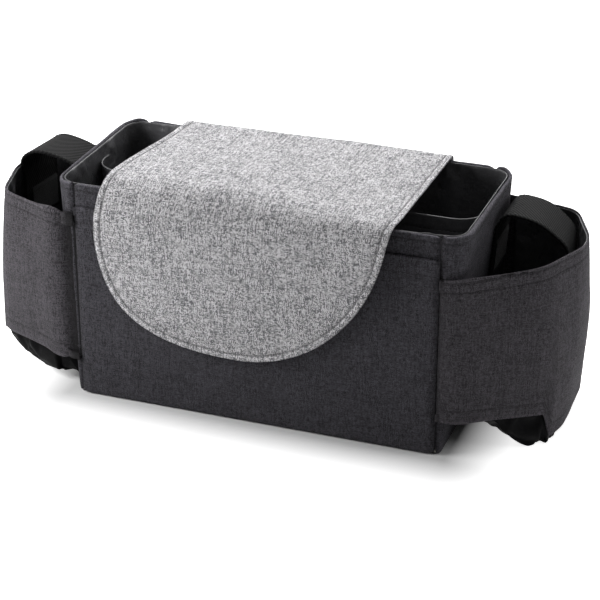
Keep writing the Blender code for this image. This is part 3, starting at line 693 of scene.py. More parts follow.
def rolled(low, top, roll, tuck, step):
    """Rows up a wall and over its turned edge, as (z, inset)."""
    rows = [(z, 0.0) for z in np.linspace(low, top - 0.008, max(3, int((top - 0.008 - low) / step)))]
    rows += [(z, 0.0) for z in np.linspace(top - 0.008, top - roll, 10)[1:]]
    for turn in np.linspace(0, math.pi, 9)[1:]:
        rows.append((top - roll + roll * math.sin(turn), roll * (1 - math.cos(turn))))
    rows += [(top - roll - tuck * k / 2, 2 * roll) for k in (1, 2)]
    return rows


def dip_at_ends(u, reach=SEAM_REACH, depth=SEAM_DIP):
    """How far cloth sinks into the seams at both ends of its width."""
    return -depth * (bell(u, reach) + bell(u.max() - u, reach))


def wall_relief(seed, waviness=0.0006):
    """Relief of a wall: sunk seams, a stitched rim, a soft foot and slow waves."""
    def relief(u, v):
        calm = 1 - bell(u, 0.012) - bell(u.max() - u, 0.012)
        waves = ripple(u, v, 0.045, 0.060, seed) + 0.4 * ripple(u, v, 0.016, 0.022, seed + 1)
        height = waviness * waves * np.clip(calm, 0, 1) * ease(v / 0.02)
        height += dip_at_ends(u) - 0.0004 * bell(v, 0.0015)
        height -= 0.00035 * bell(v - WALL_STITCH, GROOVE_WIDTH)
        pucker = ripple(u, v, 0.0045, 0.02, seed + 2) * bell(v - WALL_STITCH, 0.004)
        return height + 0.00012 * pucker
    return relief


def wear_and_painted_light(folds, rows, seam=0.35, fold_highlight_and_wear=1.1, painted_row_shade=0.35, painted_valley_shade=None):
    """Tone of a wall: lighter on folded edges, a painted highlight that is partly wear, and darker in rows of
    stitching, beside seams and in a dip along it, as painted shade.
    """
    def tone(u, v):
        made = np.ones(u.shape)
        # Folded edges lighter: painted highlight, partly wear.
        for place in folds:
            made += fold_highlight_and_wear * bell(v - place, 0.0014)
        # Rows of stitching darker: painted shade in their grooves.
        for place in rows:
            made *= 1 - painted_row_shade * bell(v - place, 0.0007)
        # Darker beside the seams: painted shade where the cloth sinks in.
        made *= 1 - seam * (bell(u, 0.0022) + bell(u.max() - u, 0.0022))
        # Darker in a dip across the cloth: painted shade.
        if painted_valley_shade:
            made *= 1 - painted_valley_shade[0] * bell(u - painted_valley_shade[1], painted_valley_shade[2])
        return made
    return tone


def line_on(grid, normals, v, place):
    """The path over the sheet at one distance along its columns, and the normals there."""
    column = v[:, 0]
    k = int(np.argmin(np.abs(column - place)))
    return grid[k], normals[k]


def make_front_and_back(stitches):
    rows = rolled(FOOT, RIM, WALL_ROLL, 0.004, 0.0035)
    x = np.linspace(-SEAM_X + GAP, SEAM_X - GAP, 150)
    for name, face in (("front_panel", -1), ("back_panel", 1)):
        grid = np.array([[(a, face * (HALF_DEPTH - inset), z) for a in x] for z, inset in rows])
        # Its tone paints a highlight on the turned rim and shade in the stitch row and beside the seams.
        grid, normals, v = sheet(
            name + "_cloth", grid, CLOTH, (0, face, 0), SHELL_CLOTH, (name,),
            wall_relief(3 + face, 0.0005 * (face > 0)), wear_and_painted_light((WALL_FOLD,), (WALL_STITCH,)),
        )
        stitches.row(*line_on(grid, normals, v, WALL_STITCH))


def make_sides(stitches):
    """The end panels, whose rims have a small lump at the front seam and dip at the back seam."""
    for name, side in (("left_side_panel", -1), ("right_side_panel", 1)):
        rows = rolled(FOOT, RIM, WALL_ROLL, 0.004, 0.0030)
        grid = []
        for z, inset in rows:
            plan = resample(side_plan(side, z, inset), 120)
            along = lengths_along(plan)
            lump = 0.0020 * bell(along - 0.0014, 0.0012) - 0.0012 * bell(along[-1] - along, 0.0022)
            lump += 0.0010 * bell(along[-1] - along - 0.009, 0.005)
            grid.append(np.column_stack([plan, z + lump * ease((z - RIM + 0.012) / 0.010)]))
        grid = np.array(grid)
        outward = grid * (1, 1, 0)
        # Its tone paints a highlight on the turned rim and shade in the stitch row and beside the seams.
        grid, normals, v = sheet(
            name + "_cloth", grid, CLOTH, outward, SHELL_CLOTH, (name,), wall_relief(20 + side),
            wear_and_painted_light((WALL_FOLD,), (WALL_STITCH,)),
        )
        stitches.row(*line_on(grid, normals, v, WALL_STITCH))


def make_seam_tapes():
    """Narrow tapes sewn behind the four upright seams."""
    for end_name, end in (("front", -1), ("back", 1)):
        for side_name, side in (("left", -1), ("right", 1)):
            grid = []
            for z in np.linspace(0.0010, RIM - 0.004, 24):
                y = end * (HALF_DEPTH - 0.0024)
                grid.append([(side * (SEAM_X + x), y, z) for x in (-0.002, -0.001, 0.0, 0.001)])
            name = f"{end_name}_{side_name}_seam_tape"
            sheet(name, np.array(grid), 0.0005, (0, end, 0), LINING_CLOTH)


def make_front_pocket(stitches):
    rows = rolled(FOOT, POCKET_TOP, 0.0007, 0.006, FACE_STEP)
    x = np.linspace(-SEAM_X + GAP, SEAM_X - GAP, 150)
    grid = []
    for z, inset in rows:
        share = (z - FOOT) / (POCKET_TOP - FOOT)
        across = (x + SEAM_X) / (2 * SEAM_X)
        bulge = FRONT_POCKET_BULGE * np.sin(math.pi * across) * math.sin(math.pi * share)
        y = -HALF_DEPTH - GAP - FRONT_POCKET_STANDS_OFF - bulge + inset
        grid.append(np.column_stack([x, y, np.full(len(x), z)]))
    hem = POCKET_TOP - FOOT - HEM_DEPTH

    def relief(u, v):
        calm = np.clip(1 - bell(u, 0.010) - bell(u.max() - u, 0.010), 0, 1)
        waves = ripple(u, v, 0.060, 0.035, 41) + 0.5 * ripple(u, v, 0.018, 0.018, 42)
        height = 0.0005 * waves * calm * ease(v / 0.015)
        height += dip_at_ends(u) - 0.0004 * bell(v, 0.0015)
        height -= 0.0004 * bell(v - hem, GROOVE_WIDTH)
        height += 0.00035 * ease((v - hem) / 0.0015)
        return height + 0.00015 * ripple(u, v, 0.005, 0.02, 43) * bell(v - hem, 0.004)

    # Its tone paints a faint highlight on the turned top and shade in the hem's stitch row and beside the
    # seams.
    grid, normals, v = sheet(
        "front_pocket_cloth", np.array(grid), CLOTH, (0, -1, 0), SHELL_CLOTH, ("front_pocket",),
        relief, wear_and_painted_light((POCKET_TOP - FOOT,), (hem,), fold_highlight_and_wear=0.35),
    )
    stitches.row(*line_on(grid, normals, v, hem))


def dish(name, rings, middle, thickness, material, slot, nodes, **declared):
    """A closed sheet over rings of points, from its edge to its middle. The rings are its upper face."""
    rows, columns = rings.shape[:2]
    index = np.arange(rows * columns).reshape(rows, columns)
    top = rings.reshape(-1, 3)
    count = len(top)
    around, deep = spread(np.concatenate([rings, rings[:, :1]], axis=1))
    uv = np.stack([around[:, :-1], deep[:, :-1]], axis=2).reshape(-1, 2)
    faces = []
    for j in range(columns):
        k = (j + 1) % columns
        for i in range(rows - 1):
            a, b, c, d = index[i, j], index[i, k], index[i + 1, k], index[i + 1, j]
            faces.append((a, b, c, d))
            faces.append((d + count, c + count, b + count, a + count))
        faces.append((index[0, k], index[0, j], index[0, j] + count, index[0, k] + count))
        faces.append((index[-1, j], index[-1, k], 2 * count))
        faces.append((index[-1, k] + count, index[-1, j] + count, 2 * count + 1))
    down = np.array([0, 0, thickness])
    points = np.concatenate([top, top - down, [middle, middle - down]])
    made = piece(name, points, faces, np.concatenate([uv, uv, uv[-2:]]), material, nodes)
    turned = np.cross(np.diff(rings, axis=0), (np.roll(rings, -1, axis=1) - rings)[:-1])


def make_base():
    """The underside, flat between the feet of the walls."""
    plan = body_loop(0.0, BASE_INSET, 241)[:-1]
    rings = [np.column_stack([plan, np.full(len(plan), z)]) for z in BASE_TURNS_UP]
    for share in np.concatenate([[0, 0.002, 0.006], np.linspace(0.02, 0.96, 20)]):
        rings.append(np.column_stack([plan * (1 - share), np.full(len(plan), CLOTH)]))
    middle = np.array([0, 0, CLOTH])
    dish("base_cloth", np.array(rings), middle, CLOTH, SHELL_CLOTH, "shell", ("base_panel",), held="stretched")


def flap_section(bend):
    """The flap's outer face from the side, as (y, z) points from its sewn edge to past its tip."""
    radius, top, front_y = bend
    back_bend = FLAP_STACK + FLAP_ABOVE_RIM
    path = [(FLAP_BACK_Y, FLAP_FOOT)]
    for turn in np.linspace(0, math.pi / 2, 12):
        height = FLAP_TOP - back_bend + back_bend * math.sin(turn)
        path.append((FLAP_BACK_Y - back_bend + back_bend * math.cos(turn), height))
    bend_y = front_y + radius
    for share in np.linspace(0, 1, 16)[:-1]:
        y = FLAP_RISES_FROM + (bend_y - FLAP_RISES_FROM) * share
        path.append((y, FLAP_TOP + (top - FLAP_TOP) * ease(share)))
    for turn in np.linspace(0, math.pi / 2, 24):
        path.append((bend_y - radius * math.sin(turn), top - radius + radius * math.cos(turn)))
    flat_from = FLAP_TIP + FLAP_FLAT_END
    for share in np.linspace(0, 1, 12)[1:]:
        y = front_y + (FLAP_TIP_Y - front_y) * ease(share)
        path.append((y, top - radius + (flat_from - top + radius) * share))
    path.append((FLAP_TIP_Y, FLAP_TIP - FLAP_PAST_TIP))
    return np.array(path)


def flap_outline():
    """The flap's flat cut as (across, along) points."""
    length = lengths_along(flap_section(FLAP_BENDS[0]))[-1] - FLAP_PAST_TIP
    rim = length - FLAP_ROUND_LENGTH
    tip = Vector((-FLAP_TIP_LEFT, length))
    left_out, left_down, left_foot = FLAP_LEFT_CURVE
    right_out, right_down, right_foot = FLAP_RIGHT_CURVE
    left = Vector((-FLAP_LEFT_AT_RIM, rim))
    right = Vector((FLAP_RIGHT_AT_RIM, rim))
    left_curve = (left, left + Vector((-left_out, left_down)), tip - Vector((left_foot, 0)), tip)
    right_curve = (tip, tip + Vector((right_foot, 0)), right + Vector((right_out, right_down)), right)
    outline = [Vector((FLAP_RIGHT_AT_BACK, 0)), Vector((-FLAP_LEFT_AT_BACK, 0))]
    outline += interpolate_bezier(*left_curve, 60)[:-1]
    outline += interpolate_bezier(*right_curve, 60)[:-1]
    shoulder_x, shoulder_above = FLAP_RIGHT_SHOULDER
    shoulder = Vector((shoulder_x, rim - shoulder_above))
    onward = Vector((-right_out, -right_down)).normalized() * shoulder_above / 3
    below = shoulder + Vector((0, shoulder_above / 3))
    outline += interpolate_bezier(right, right + onward, below, shoulder, 16)
    return np.array(outline)


def inset_loop(loop, inset):
    """A closed outline moved inwards."""
    before = loop - np.roll(loop, 1, axis=0)
    after = np.roll(loop, -1, axis=0) - loop
    before /= np.linalg.norm(before, axis=1, keepdims=True)
    after /= np.linalg.norm(after, axis=1, keepdims=True)
    normal = np.stack([before[:, 1] + after[:, 1], -before[:, 0] - after[:, 0]], axis=1)
    normal /= np.linalg.norm(normal, axis=1, keepdims=True)
    stretch = np.maximum((normal * np.stack([before[:, 1], -before[:, 0]], axis=1)).sum(axis=1), 0.6)
    return loop + normal * (inset / stretch)[:, None]


def even_loop(loop, step):
    closed = np.concatenate([loop, loop[:1]])
    count = int(lengths_along(closed)[-1] / step)
    return resample(closed, count + 1)[:-1]


def inside(points, loop):
    """Which points lie in a closed outline."""
    x, y = points[:, 0], points[:, 1]
    found = np.zeros(len(points), bool)
    for (x1, y1), (x2, y2) in zip(loop, np.roll(loop, -1, axis=0)):
        crosses = (y1 > y) != (y2 > y)
        if y1 != y2:
            found ^= crosses & (x < (x2 - x1) * (y - y1) / (y2 - y1) + x1)
    return found


FLAP_RINGS = (0.0, 0.0006, 0.0014, 0.0024, 0.0034, 0.0041, 0.0046, 0.0051, 0.0058, 0.0070)


def cut_mesh(outline, rings, step):
    """Points and triangles over a flat cut, with rows of points along its edge at the given insets."""
    loop = even_loop(outline, step)
    points = []
    inset = []
    for ring in rings:
        points.append(inset_loop(loop, ring))
        inset.append(np.full(len(loop), ring))
    core = inset_loop(loop, rings[-1] + step)
    low, high = core.min(axis=0), core.max(axis=0)
    xs = np.arange(low[0], high[0], step)
    ys = np.arange(low[1], high[1], step * 0.866)
    grid = np.array([(x + step / 2 * (j % 2), y) for j, y in enumerate(ys) for x in xs])
    grid = grid[inside(grid, core)]
    points.append(grid)
    inset.append(np.full(len(grid), rings[-1] + step))
    points = np.concatenate(points)
    inset = np.concatenate(inset)
    count = len(loop)
    border = [(i, (i + 1) % count) for i in range(count)]
    made = delaunay_2d_cdt([Vector(p) for p in points], border, [], 1, 1e-7)
    where = np.array([tuple(p) for p in made[0]])
    source = [original[0] for original in made[3]]
    return where, np.array(made[2]), inset[source], [source.index(i) for i in range(count)]


def folded(flat, depth):
    """Flat points folded over the body, at a depth below the flap's face, with their normals."""
    share = flat[:, 1] / lengths_along(flap_section(FLAP_BENDS[0]))[-1]
    low, high = FLAP_BENDS_SHARPER
    sharper = ease((flat[:, 0] - low) / (high - low))
    places, normals = [], []
    for bend in FLAP_BENDS:
        section = flap_section(bend)
        along = lengths_along(section) / lengths_along(section)[-1]
        slope = np.gradient(section, axis=0)
        slope /= np.linalg.norm(slope, axis=1, keepdims=True)
        places.append(np.stack([np.interp(share, along, section[:, k]) for k in (0, 1)], axis=1))
        sideways = (slope[:, 1], -slope[:, 0])
        normals.append(np.stack([np.interp(share, along, values) for values in sideways], axis=1))
    place = places[0] + (places[1] - places[0]) * sharper[:, None]
    normal = normals[0] + (normals[1] - normals[0]) * sharper[:, None]
    normal /= np.linalg.norm(normal, axis=1, keepdims=True)
    place = place - normal * np.broadcast_to(depth, len(flat))[:, None]
    zero = np.zeros(len(flat))
    return np.column_stack([flat[:, 0], place]), np.column_stack([zero, normal])


def flap_waves(flat):
    """How the flap's face rises and falls: soft over the rim, nearly flat in front."""
    across, along = flat.T
    return 0.0006 * (ripple(across, along, 0.055, 0.07, 61) + 0.5 * ripple(across, along, 0.02, 0.025, 62))


def make_flap(stitches):
    outline = flap_outline()
    flat, triangles, inset, border = cut_mesh(outline, FLAP_RINGS, 0.0022)
    edge = ease(inset / 0.0014)
    groove = 0.0008 * bell(inset - FLAP_STITCH, GROOVE_WIDTH)
    turned = 0.00025 * (1 - ease((inset - FLAP_STITCH) / 0.0012))
    depth = 0.0005 * (1 - edge) + groove - turned - flap_waves(flat)
    outer, normal = folded(flat, depth)
    inner, _ = folded(flat, FLAP_SHELL - 0.0005 * (1 - edge) - flap_waves(flat))
    count = len(flat)
    faces = triangles.tolist() + (triangles[:, ::-1] + count).tolist()
    loop = flat[border]
    rim_points, _ = folded(inset_loop(loop, -0.0004), FLAP_SHELL / 2 - flap_waves(loop))
    for k in range(len(border)):
        m = (k + 1) % len(border)
        faces.append((border[m], border[k], 2 * count + k, 2 * count + m))
        faces.append((2 * count + m, 2 * count + k, border[k] + count, border[m] + count))
    points = np.concatenate([outer, inner, rim_points])
    uv = np.concatenate([flat, flat, loop])
    # Painted shade in the topstitch groove, and painted highlight on the puffed strip between the stitching and
    # the edge and on the edge itself.
    tone = (1 - 0.5 * bell(inset - FLAP_STITCH, 0.00045)) * (1 + 0.10 * (inset < FLAP_STITCH - 0.0004))
    tone = np.concatenate([tone, tone, np.full(len(loop), 1.1)])
    made = piece("flap_cloth", points, faces, uv, FLAP_CLOTH, ("flap_shell",), tone)
    line = even_loop(inset_loop(even_loop(outline, 0.002), FLAP_STITCH), 0.001)
    line = np.concatenate([line, line[:1]])
    path, normals = folded(line, 0.0002 - flap_waves(line))
    stitches.row(path, normals)
    low_inset = inset_loop(even_loop(outline, 0.003), 0.0015)
    flat, triangles, inset, border = cut_mesh(low_inset, (0.0, 0.001), 0.004)
    top, _ = folded(flat, FLAP_SHELL + GAP - flap_waves(flat))
    bottom, _ = folded(flat, FLAP_SHELL + GAP + LINING - flap_waves(flat))
    count = len(flat)
    faces = triangles.tolist() + (triangles[:, ::-1] + count).tolist()
    faces += [(b, a, a + count, b + count) for a, b in zip(border, border[1:] + border[:1])]
    points = np.concatenate([top, bottom])
    uv = np.concatenate([flat, flat])
    made = piece("flap_lining_cloth", points, faces, uv, LINING_CLOTH, ("flap_lining",))


def band_plan(pocket, level):
    """Plan of a cup pocket's outer face at its rim or its hem."""
    side = pocket["side"]
    front_y = -HALF_DEPTH - OUTER_LAYER
    start_x = SEAM_X + GAP
    corners = [(side * start_x, front_y)]
    for out, back, radius in pocket[level + "_corners"]:
        corners.append((side * (start_x + out), front_y + back, radius))
    out, radius = pocket[level + "_back_corner"]
    corners.append((side * (start_x + out), -front_y, radius))
    corners.append((side * start_x, -front_y))
    return fillet(corners)


def stations(values, share, places):
    """Heights that ease from one station to the next along a band."""
    result = np.full(len(share), float(values[0]))
    for i in range(len(places) - 1):
        part = ease((share - places[i]) / (places[i + 1] - places[i]))
        result += (values[i + 1] - values[i]) * part
    return result


BAND_COLUMNS = 190


def band_rows(pocket, rows, first=0.0, last=1.0, columns=BAND_COLUMNS):
    """Points of a band's rows. Each row is (share of the height, extra height, inset)."""
    share_along = np.linspace(first, last, columns)
    rim = at_lengths(band_plan(pocket, "rim"), share_along * lengths_along(band_plan(pocket, "rim"))[-1])
    hem = at_lengths(band_plan(pocket, "hem"), share_along * lengths_along(band_plan(pocket, "hem"))[-1])
    low = stations(pocket["hem_heights"], share_along, HEM_PLACES)
    high = stations(pocket["rim_heights"], share_along, RIM_PLACES)
    from_end = np.minimum(share_along, 1 - share_along)
    grid = []
    for share, extra, inset in rows:
        height = low + (high - low) * share + extra
        lift = (height - low) / (high - low)
        plan = hem + (rim - hem) * lift[:, None]
        along = np.gradient(plan, axis=0)
        along /= np.linalg.norm(along, axis=1, keepdims=True)
        outward = np.stack([along[:, 1], -along[:, 0]], axis=1) * pocket["side"]
        swell = pocket["bulge"] * np.sin(math.pi * np.clip(lift, 0, 1)) * ease(from_end / 0.14)
        plan = plan + outward * (swell - inset)[:, None]
        grid.append(np.column_stack([plan, height]))
    return rounder(np.array(grid), columns)


def rounder(grid, columns):
    """The grid with its corners eased along its rows, but for both ends."""
    reach = columns // 30
    weights = bell(np.arange(-2 * reach, 2 * reach + 1), reach)
    weights /= weights.sum()

    def averaged(rows):
        before = 2 * rows[:, :1] - rows[:, 2 * reach:0:-1]
        after = 2 * rows[:, -1:] - rows[:, -2:-2 * reach - 2:-1]
        padded = np.concatenate([before, rows, after], axis=1)
        return sum(w * padded[:, k:k + columns] for k, w in enumerate(weights))

    once = averaged(grid)
    eased = 2 * once - averaged(once)
    from_end = np.minimum(np.arange(columns), columns - 1 - np.arange(columns)) / reach
    share = ease(from_end / 1.5)[None, :, None] * np.array([1, 1, 0])
    return grid * (1 - share) + eased * share


def band_profile(step_share):
    """Rows from the turned hem, up the wall and over the turned rim."""
    rows = [(0.0, 0.006, 2 * BAND_ROLL), (0.0, BAND_ROLL, 2 * BAND_ROLL)]
    for turn in np.linspace(0, math.pi, 7)[1:-1]:
        rows.append((0.0, BAND_ROLL - BAND_ROLL * math.sin(turn), BAND_ROLL * (1 + math.cos(turn))))
    above_hem = POCKET_HEM + 0.003
    rows += [(0.0, extra, 0.0) for extra in np.linspace(BAND_ROLL, above_hem, 12)]
    for share in np.arange(step_share, 1.0, step_share):
        rows.append((share, above_hem * (1 - share) - BAND_CALM_BELOW_RIM * share, 0.0))
    top_rows = np.linspace(0, BAND_CALM_BELOW_RIM - BAND_ROLL, 20)
    rows += [(1.0, -BAND_CALM_BELOW_RIM + extra, 0.0) for extra in top_rows]
    for turn in np.linspace(0, math.pi, 7)[1:]:
        rows.append((1.0, -BAND_ROLL + BAND_ROLL * math.sin(turn), BAND_ROLL * (1 - math.cos(turn))))
    rows += [(1.0, -0.004, 2 * BAND_ROLL), (1.0, -POCKET_HEM, 2 * BAND_ROLL)]
    return rows


def away_from_pocket(pocket, grid):
    """Directions away from the middle of a cup pocket."""
    return grid * (1, 1, 0) - np.array([pocket["side"] * POCKET_MIDDLE, 0.0, 0.0])


def make_band(side_name, pocket, stitches):
    rows = band_profile(0.02)
    grid = band_rows(pocket, rows)
    hem_row = next(i for i, row in enumerate(rows) if row[2] == 0.0)
    rim_row = max(i for i, row in enumerate(rows) if row[2] == 0.0)
    seed = 80 + pocket["side"]

    def marks(v):
        """Distances along the cloth of its foot, its top and its rows of stitches."""
        foot = v[hem_row, 0]
        top = v[rim_row, 0] + BAND_ROLL
        return foot, top, (foot + POCKET_HEM, top - BAND_STITCH, top - POCKET_HEM)

    def relief(u, v):
        foot, top, places = marks(v)
        calm = np.clip(1 - bell(u, 0.010) - bell(u.max() - u, 0.010), 0, 1)
        waves = ripple(u, v, 0.030, 0.050, seed) + 0.5 * ripple(u, v, 0.012, 0.020, seed + 5)
        height = 0.0008 * waves * calm * bell(v - (foot + top) / 2, 0.06)
        height += dip_at_ends(u)
        if pocket["side"] < 0:
            height += 0.0016 * bell(u - 0.020, 0.009) - 0.0020 * bell(u - 0.005, 0.005)
        for place in places:
            height -= 0.0004 * bell(v - place, GROOVE_WIDTH)
            height += 0.00015 * ripple(u, v, 0.005, 0.02, seed + 9) * bell(v - place, 0.004)
        return height

    foot, top, places = marks(spread(grid)[1])
    # Its tone: a painted highlight on the turned hem and rim, and painted shade in the stitch rows, beside the
    # seams and in the dip next to the body's front seam, deep on the left pocket.
    tone = wear_and_painted_light(
        (foot, top), places, fold_highlight_and_wear=0.35,
        painted_valley_shade=(0.85, 0.0030, 0.0065) if pocket["side"] < 0 else (0.2, 0.002, 0.004),
    )
    grid, normals, v = sheet(
        side_name + "_pocket_band_cloth", grid, CLOTH * 0.9, away_from_pocket(pocket, grid), POCKET_CLOTH,
        (side_name + "_pocket_band",), relief, tone,
    )
    for place in marks(v)[2]:
        stitches.row(*line_on(grid, normals, v, place))


def make_band_lining(side_name, pocket):
    """The black bag in a cup pocket, slack between its edges."""
    shares = np.linspace(0, 1, 22)
    rows = [(share, POCKET_HEM * (1 - share) - 0.0012 * share, OUTER_LAYER + 0.0002) for share in shares]
    grid = band_rows(pocket, rows, LINED_FROM, 1 - LINED_FROM, 56)
    firm = facing_normals(grid, away_from_pocket(pocket, grid))
    grid = finer(settled(grid, firm, held_at_edges(grid), 0.05, 0.0045), 66, 168)
    sheet(
        side_name + "_pocket_lining_cloth", grid, LINING, away_from_pocket(pocket, grid), LINING_CLOTH,
        (side_name + "_pocket_lining",),
    )


BOTTOM_LOWEST = 0.0010


def make_pocket_bottom(side_name, pocket):
    """The black cloth that hangs between the band's hem and the body."""
    side = pocket["side"]
    inset = OUTER_LAYER + LINING + GAP
    edge = band_rows(pocket, [(0.0, 0.002, inset)], LINED_FROM, 1 - LINED_FROM, 60)[0]
    height = pocket["bottom_at_body"]
    share = np.linspace(0, 1, 20)[1:-1, None]
    wall = edge[-1] * (1 - share) + edge[0] * share
    wall[:, 0] = side * (wall_x(height) + GAP)
    wall[:, 2] = height
    loop = np.concatenate([edge, wall])
    along = np.arange(len(loop)) / (len(edge) - 1) * 0.86 + LINED_FROM
    sag_at, sag_reach, sag_depth = pocket["sag"]
    middle = loop.mean(axis=0)
    middle[2] = BOTTOM_LOWEST
    drop = sag_depth * bell(along - sag_at, sag_reach)
    rings = []
    for inward in np.concatenate([np.linspace(0, 0.12, 6), np.linspace(0.16, 0.92, 12)]):
        ring = loop * (1 - inward) + middle * inward
        level = loop[:, 2] - drop * ease(inward / 0.12)
        ring[:, 2] = np.maximum(level + (middle[2] - level) * ease(inward), BOTTOM_LOWEST)
        rings.append(ring)
    rings.insert(0, loop + (0, 0, POCKET_HEM))
    rings = np.array(rings)
    held = np.zeros(rings.shape[:2], bool)
    held[:2] = held[-1] = True
    rings = settled(rings, np.zeros_like(rings), held, 0.08, 0.006, closed=True)
    wrapped = np.concatenate([rings[:, -2:], rings, rings[:, :3]], axis=1)
    columns = 3 * len(loop)
    rings = finer(wrapped, 3 * len(rings), 3 * (wrapped.shape[1] - 1) + 1)[:, 6:6 + columns]
    rings[:, :, 2] = np.maximum(rings[:, :, 2], BOTTOM_LOWEST)
    dish(
        side_name + "_pocket_bottom_cloth", rings, middle, LINING, BOTTOM_CLOTH, "lining_cloth",
        (side_name + "_pocket_bottom",), held="hung", rests_on=[side_name + "_pocket_band_cloth"],
    )


def pocket_inside_x(pocket, y):
    """How far out the pocket's lining reaches at its rim, at one depth."""
    plan = band_plan(pocket, "rim")
    along = np.gradient(plan, axis=0)
    along /= np.linalg.norm(along, axis=1, keepdims=True)
    outward = np.stack([along[:, 1], -along[:, 0]], axis=1) * pocket["side"]
    plan = plan - outward * (OUTER_LAYER + LINING)
    reach = 0.0
    for a, b in zip(plan, plan[1:]):
        if min(a[1], b[1]) <= y <= max(a[1], b[1]) and a[1] != b[1]:
            reach = max(reach, abs(a[0] + (b[0] - a[0]) * (y - a[1]) / (b[1] - a[1])))
    return reach


def make_strap(side_name, pocket, stitches):
    """A webbing strap: sewn to the body's side, over the pocket and down in it."""
    leave = pocket["strap_leaves"]
    stand_off = GAP + WEBBING / 2
    foot = leave - STRAP_SEWN_LENGTH
    start = np.array([wall_x(foot) + stand_off, foot])
    leaving = np.array([wall_x(leave) + stand_off, leave])
    near_y = HALF_DEPTH - pocket["strap_from_back"] - STRAP_WIDTH / 2
    hang = pocket_inside_x(pocket, near_y) - pocket["strap_off_wall"]
    turn_in = max(0.0, hang - pocket_inside_x(pocket, near_y + STRAP_WIDTH) + STRAP_CLEARANCE)
    arch = [leaving] + [leaving + np.array(place) for place in pocket["strap_over"]]
    arch += [np.array((hang - inward, leave + up)) for inward, up in pocket["strap_down"]]
    sewn = start + (leaving - start) * np.linspace(0, 1, 8)[:-1, None]
    path = resample(np.concatenate([sewn, smooth_through(arch, 10)]), 130)
    along = lengths_along(path)
    slope = np.gradient(path, axis=0)
    slope /= np.linalg.norm(slope, axis=1, keepdims=True)
    outward = np.stack([-slope[:, 1], slope[:, 0]], axis=1)
    path = path + outward * WEBBING / 2
    share = (along - STRAP_SEWN_LENGTH) / (along[-1] - STRAP_SEWN_LENGTH) / STRAP_TURNED_BY
    edges = np.concatenate([[0, 0.0004, 0.0012, 0.0022], np.linspace(0.003, STRAP_WIDTH - 0.003, 14)])
    edges = np.concatenate([edges, STRAP_WIDTH - np.array([0.0022, 0.0012, 0.0004, 0])])
    grid = []
    for edge in edges:
        pull = turn_in * edge / STRAP_WIDTH * ease(np.clip(share, 0, 1) ** 2)
        x = pocket["side"] * (path[:, 0] - pull)
        grid.append(np.column_stack([x, np.full(len(path), near_y + edge), path[:, 1]]))
    grid = np.array(grid)
    facing = np.zeros_like(grid)
    facing[:, :, 0] = outward[:, 0] * pocket["side"]
    facing[:, :, 2] = outward[:, 1]

    def relief(u, v):
        from_edge = np.minimum(v, v.max() - v)
        return -0.0003 * bell(from_edge, 0.0008) + 0.0002 * ripple(u, v, 0.02, 0.03, 95)

    grid, normals, v = sheet(
        side_name + "_strap_webbing", grid, WEBBING, facing, WEBBING_CLOTH, (side_name + "_strap",),
        relief,
    )
    for place in (0.0015, STRAP_WIDTH - 0.0015):
        stitches.row(*line_on(grid, normals, v, place))


def make_lining():
    """The shiny bag inside the box, slack up its walls from the base."""
    heights = np.linspace(LINING_FOOT, RIM - 0.0008, 30)
    grid = np.array([np.column_stack([body_loop(z, LINING_INSET, 150), np.full(150, z)]) for z in heights])
    firm = facing_normals(grid, grid * (1, 1, 0))
    grid = finer(settled(grid, firm, held_at_edges(grid), 0.06, 0.0055), 88, 440)

    def relief(u, v):
        loose = bell(u, 0.010) + bell(u.max() - u, 0.010)
        return -0.0020 * loose * ease((v - v.max() + 0.020) / 0.018)

    outward = grid * (1, 1, 0)
    sheet("lining_wall_cloth", grid, LINING, outward, LINING_CLOTH, ("lining",), relief)
    floor = []
    for y in np.linspace(-HALF_DEPTH + 0.006, HALF_DEPTH - 0.006, 50):
        floor.append([(x, y, LINING_FOOT + 0.0001) for x in np.linspace(-SEAM_X + 0.0015, SEAM_X - 0.0015, 90)])
    sheet(
        "lining_floor_cloth", np.array(floor), LINING, (0, 0, 1), LINING_CLOTH, (),
        lambda u, v: 0.0004 * ripple(u, v, 0.02, 0.02, 52),
    )


def make_inner_pocket(stitches):
    """The pocket inside, whose ends turn back along the side walls."""
    inset = 0.0046
    bend = 0.020
    foot = 0.0055
    fine_from = INNER_TOP - 0.011
    rows = [np.linspace(foot, fine_from - 0.001, 40), np.linspace(fine_from, INNER_TOP, 14)]
    grid = []
    for z in np.concatenate(rows):
        half = wall_x(z) - inset
        front = [(-half, -INNER_FORWARD, bend), (half, -INNER_FORWARD, bend)]
        plan = resample(fillet([(-half, INNER_ENDS_BACK), *front, (half, INNER_ENDS_BACK)]), 200)
        grid.append(np.column_stack([plan, np.full(len(plan), z)]))
    grid = np.array(grid)
    hem = INNER_TOP - foot - 0.009

    def relief(u, v):
        ends = np.clip(bell(u, 0.02) + bell(u.max() - u, 0.02), 0, 1)
        folds = 0.0010 * ripple(u, v, 0.03, 0.05, 55) * (1 - ends) - 0.0006 * ends
        return folds - 0.0003 * bell(v - hem, GROOVE_WIDTH) + 0.0002 * ease((v - hem) / 0.001)

    grid, normals, v = sheet(
        "inner_pocket_cloth", grid, 0.0012, (0, -1, 0), LINING_CLOTH, ("inner_pocket",), relief
    )
    stitches.row(*line_on(grid, normals, v, hem))


def repaint_nodes():
    """Materials of the CAD nodes that stay in view or lie sealed inside."""
    kinds = {"foam": FOAM_FIBRE, "board": BOARD_FIBRE, "patch": TAPE_FIBRE}
    for name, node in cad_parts.items():
        for ending, material in kinds.items():
            if name.endswith(ending):
                for slot in node.material_slots:
                    slot.material = material


GLOW = 0.85
GLOW_BEYOND_SEAM = 0.008
GLOW_STARTS_AND_ENDS = (0.001, 0.038)  # distances from the box's foot
AMBIENT = 0.14


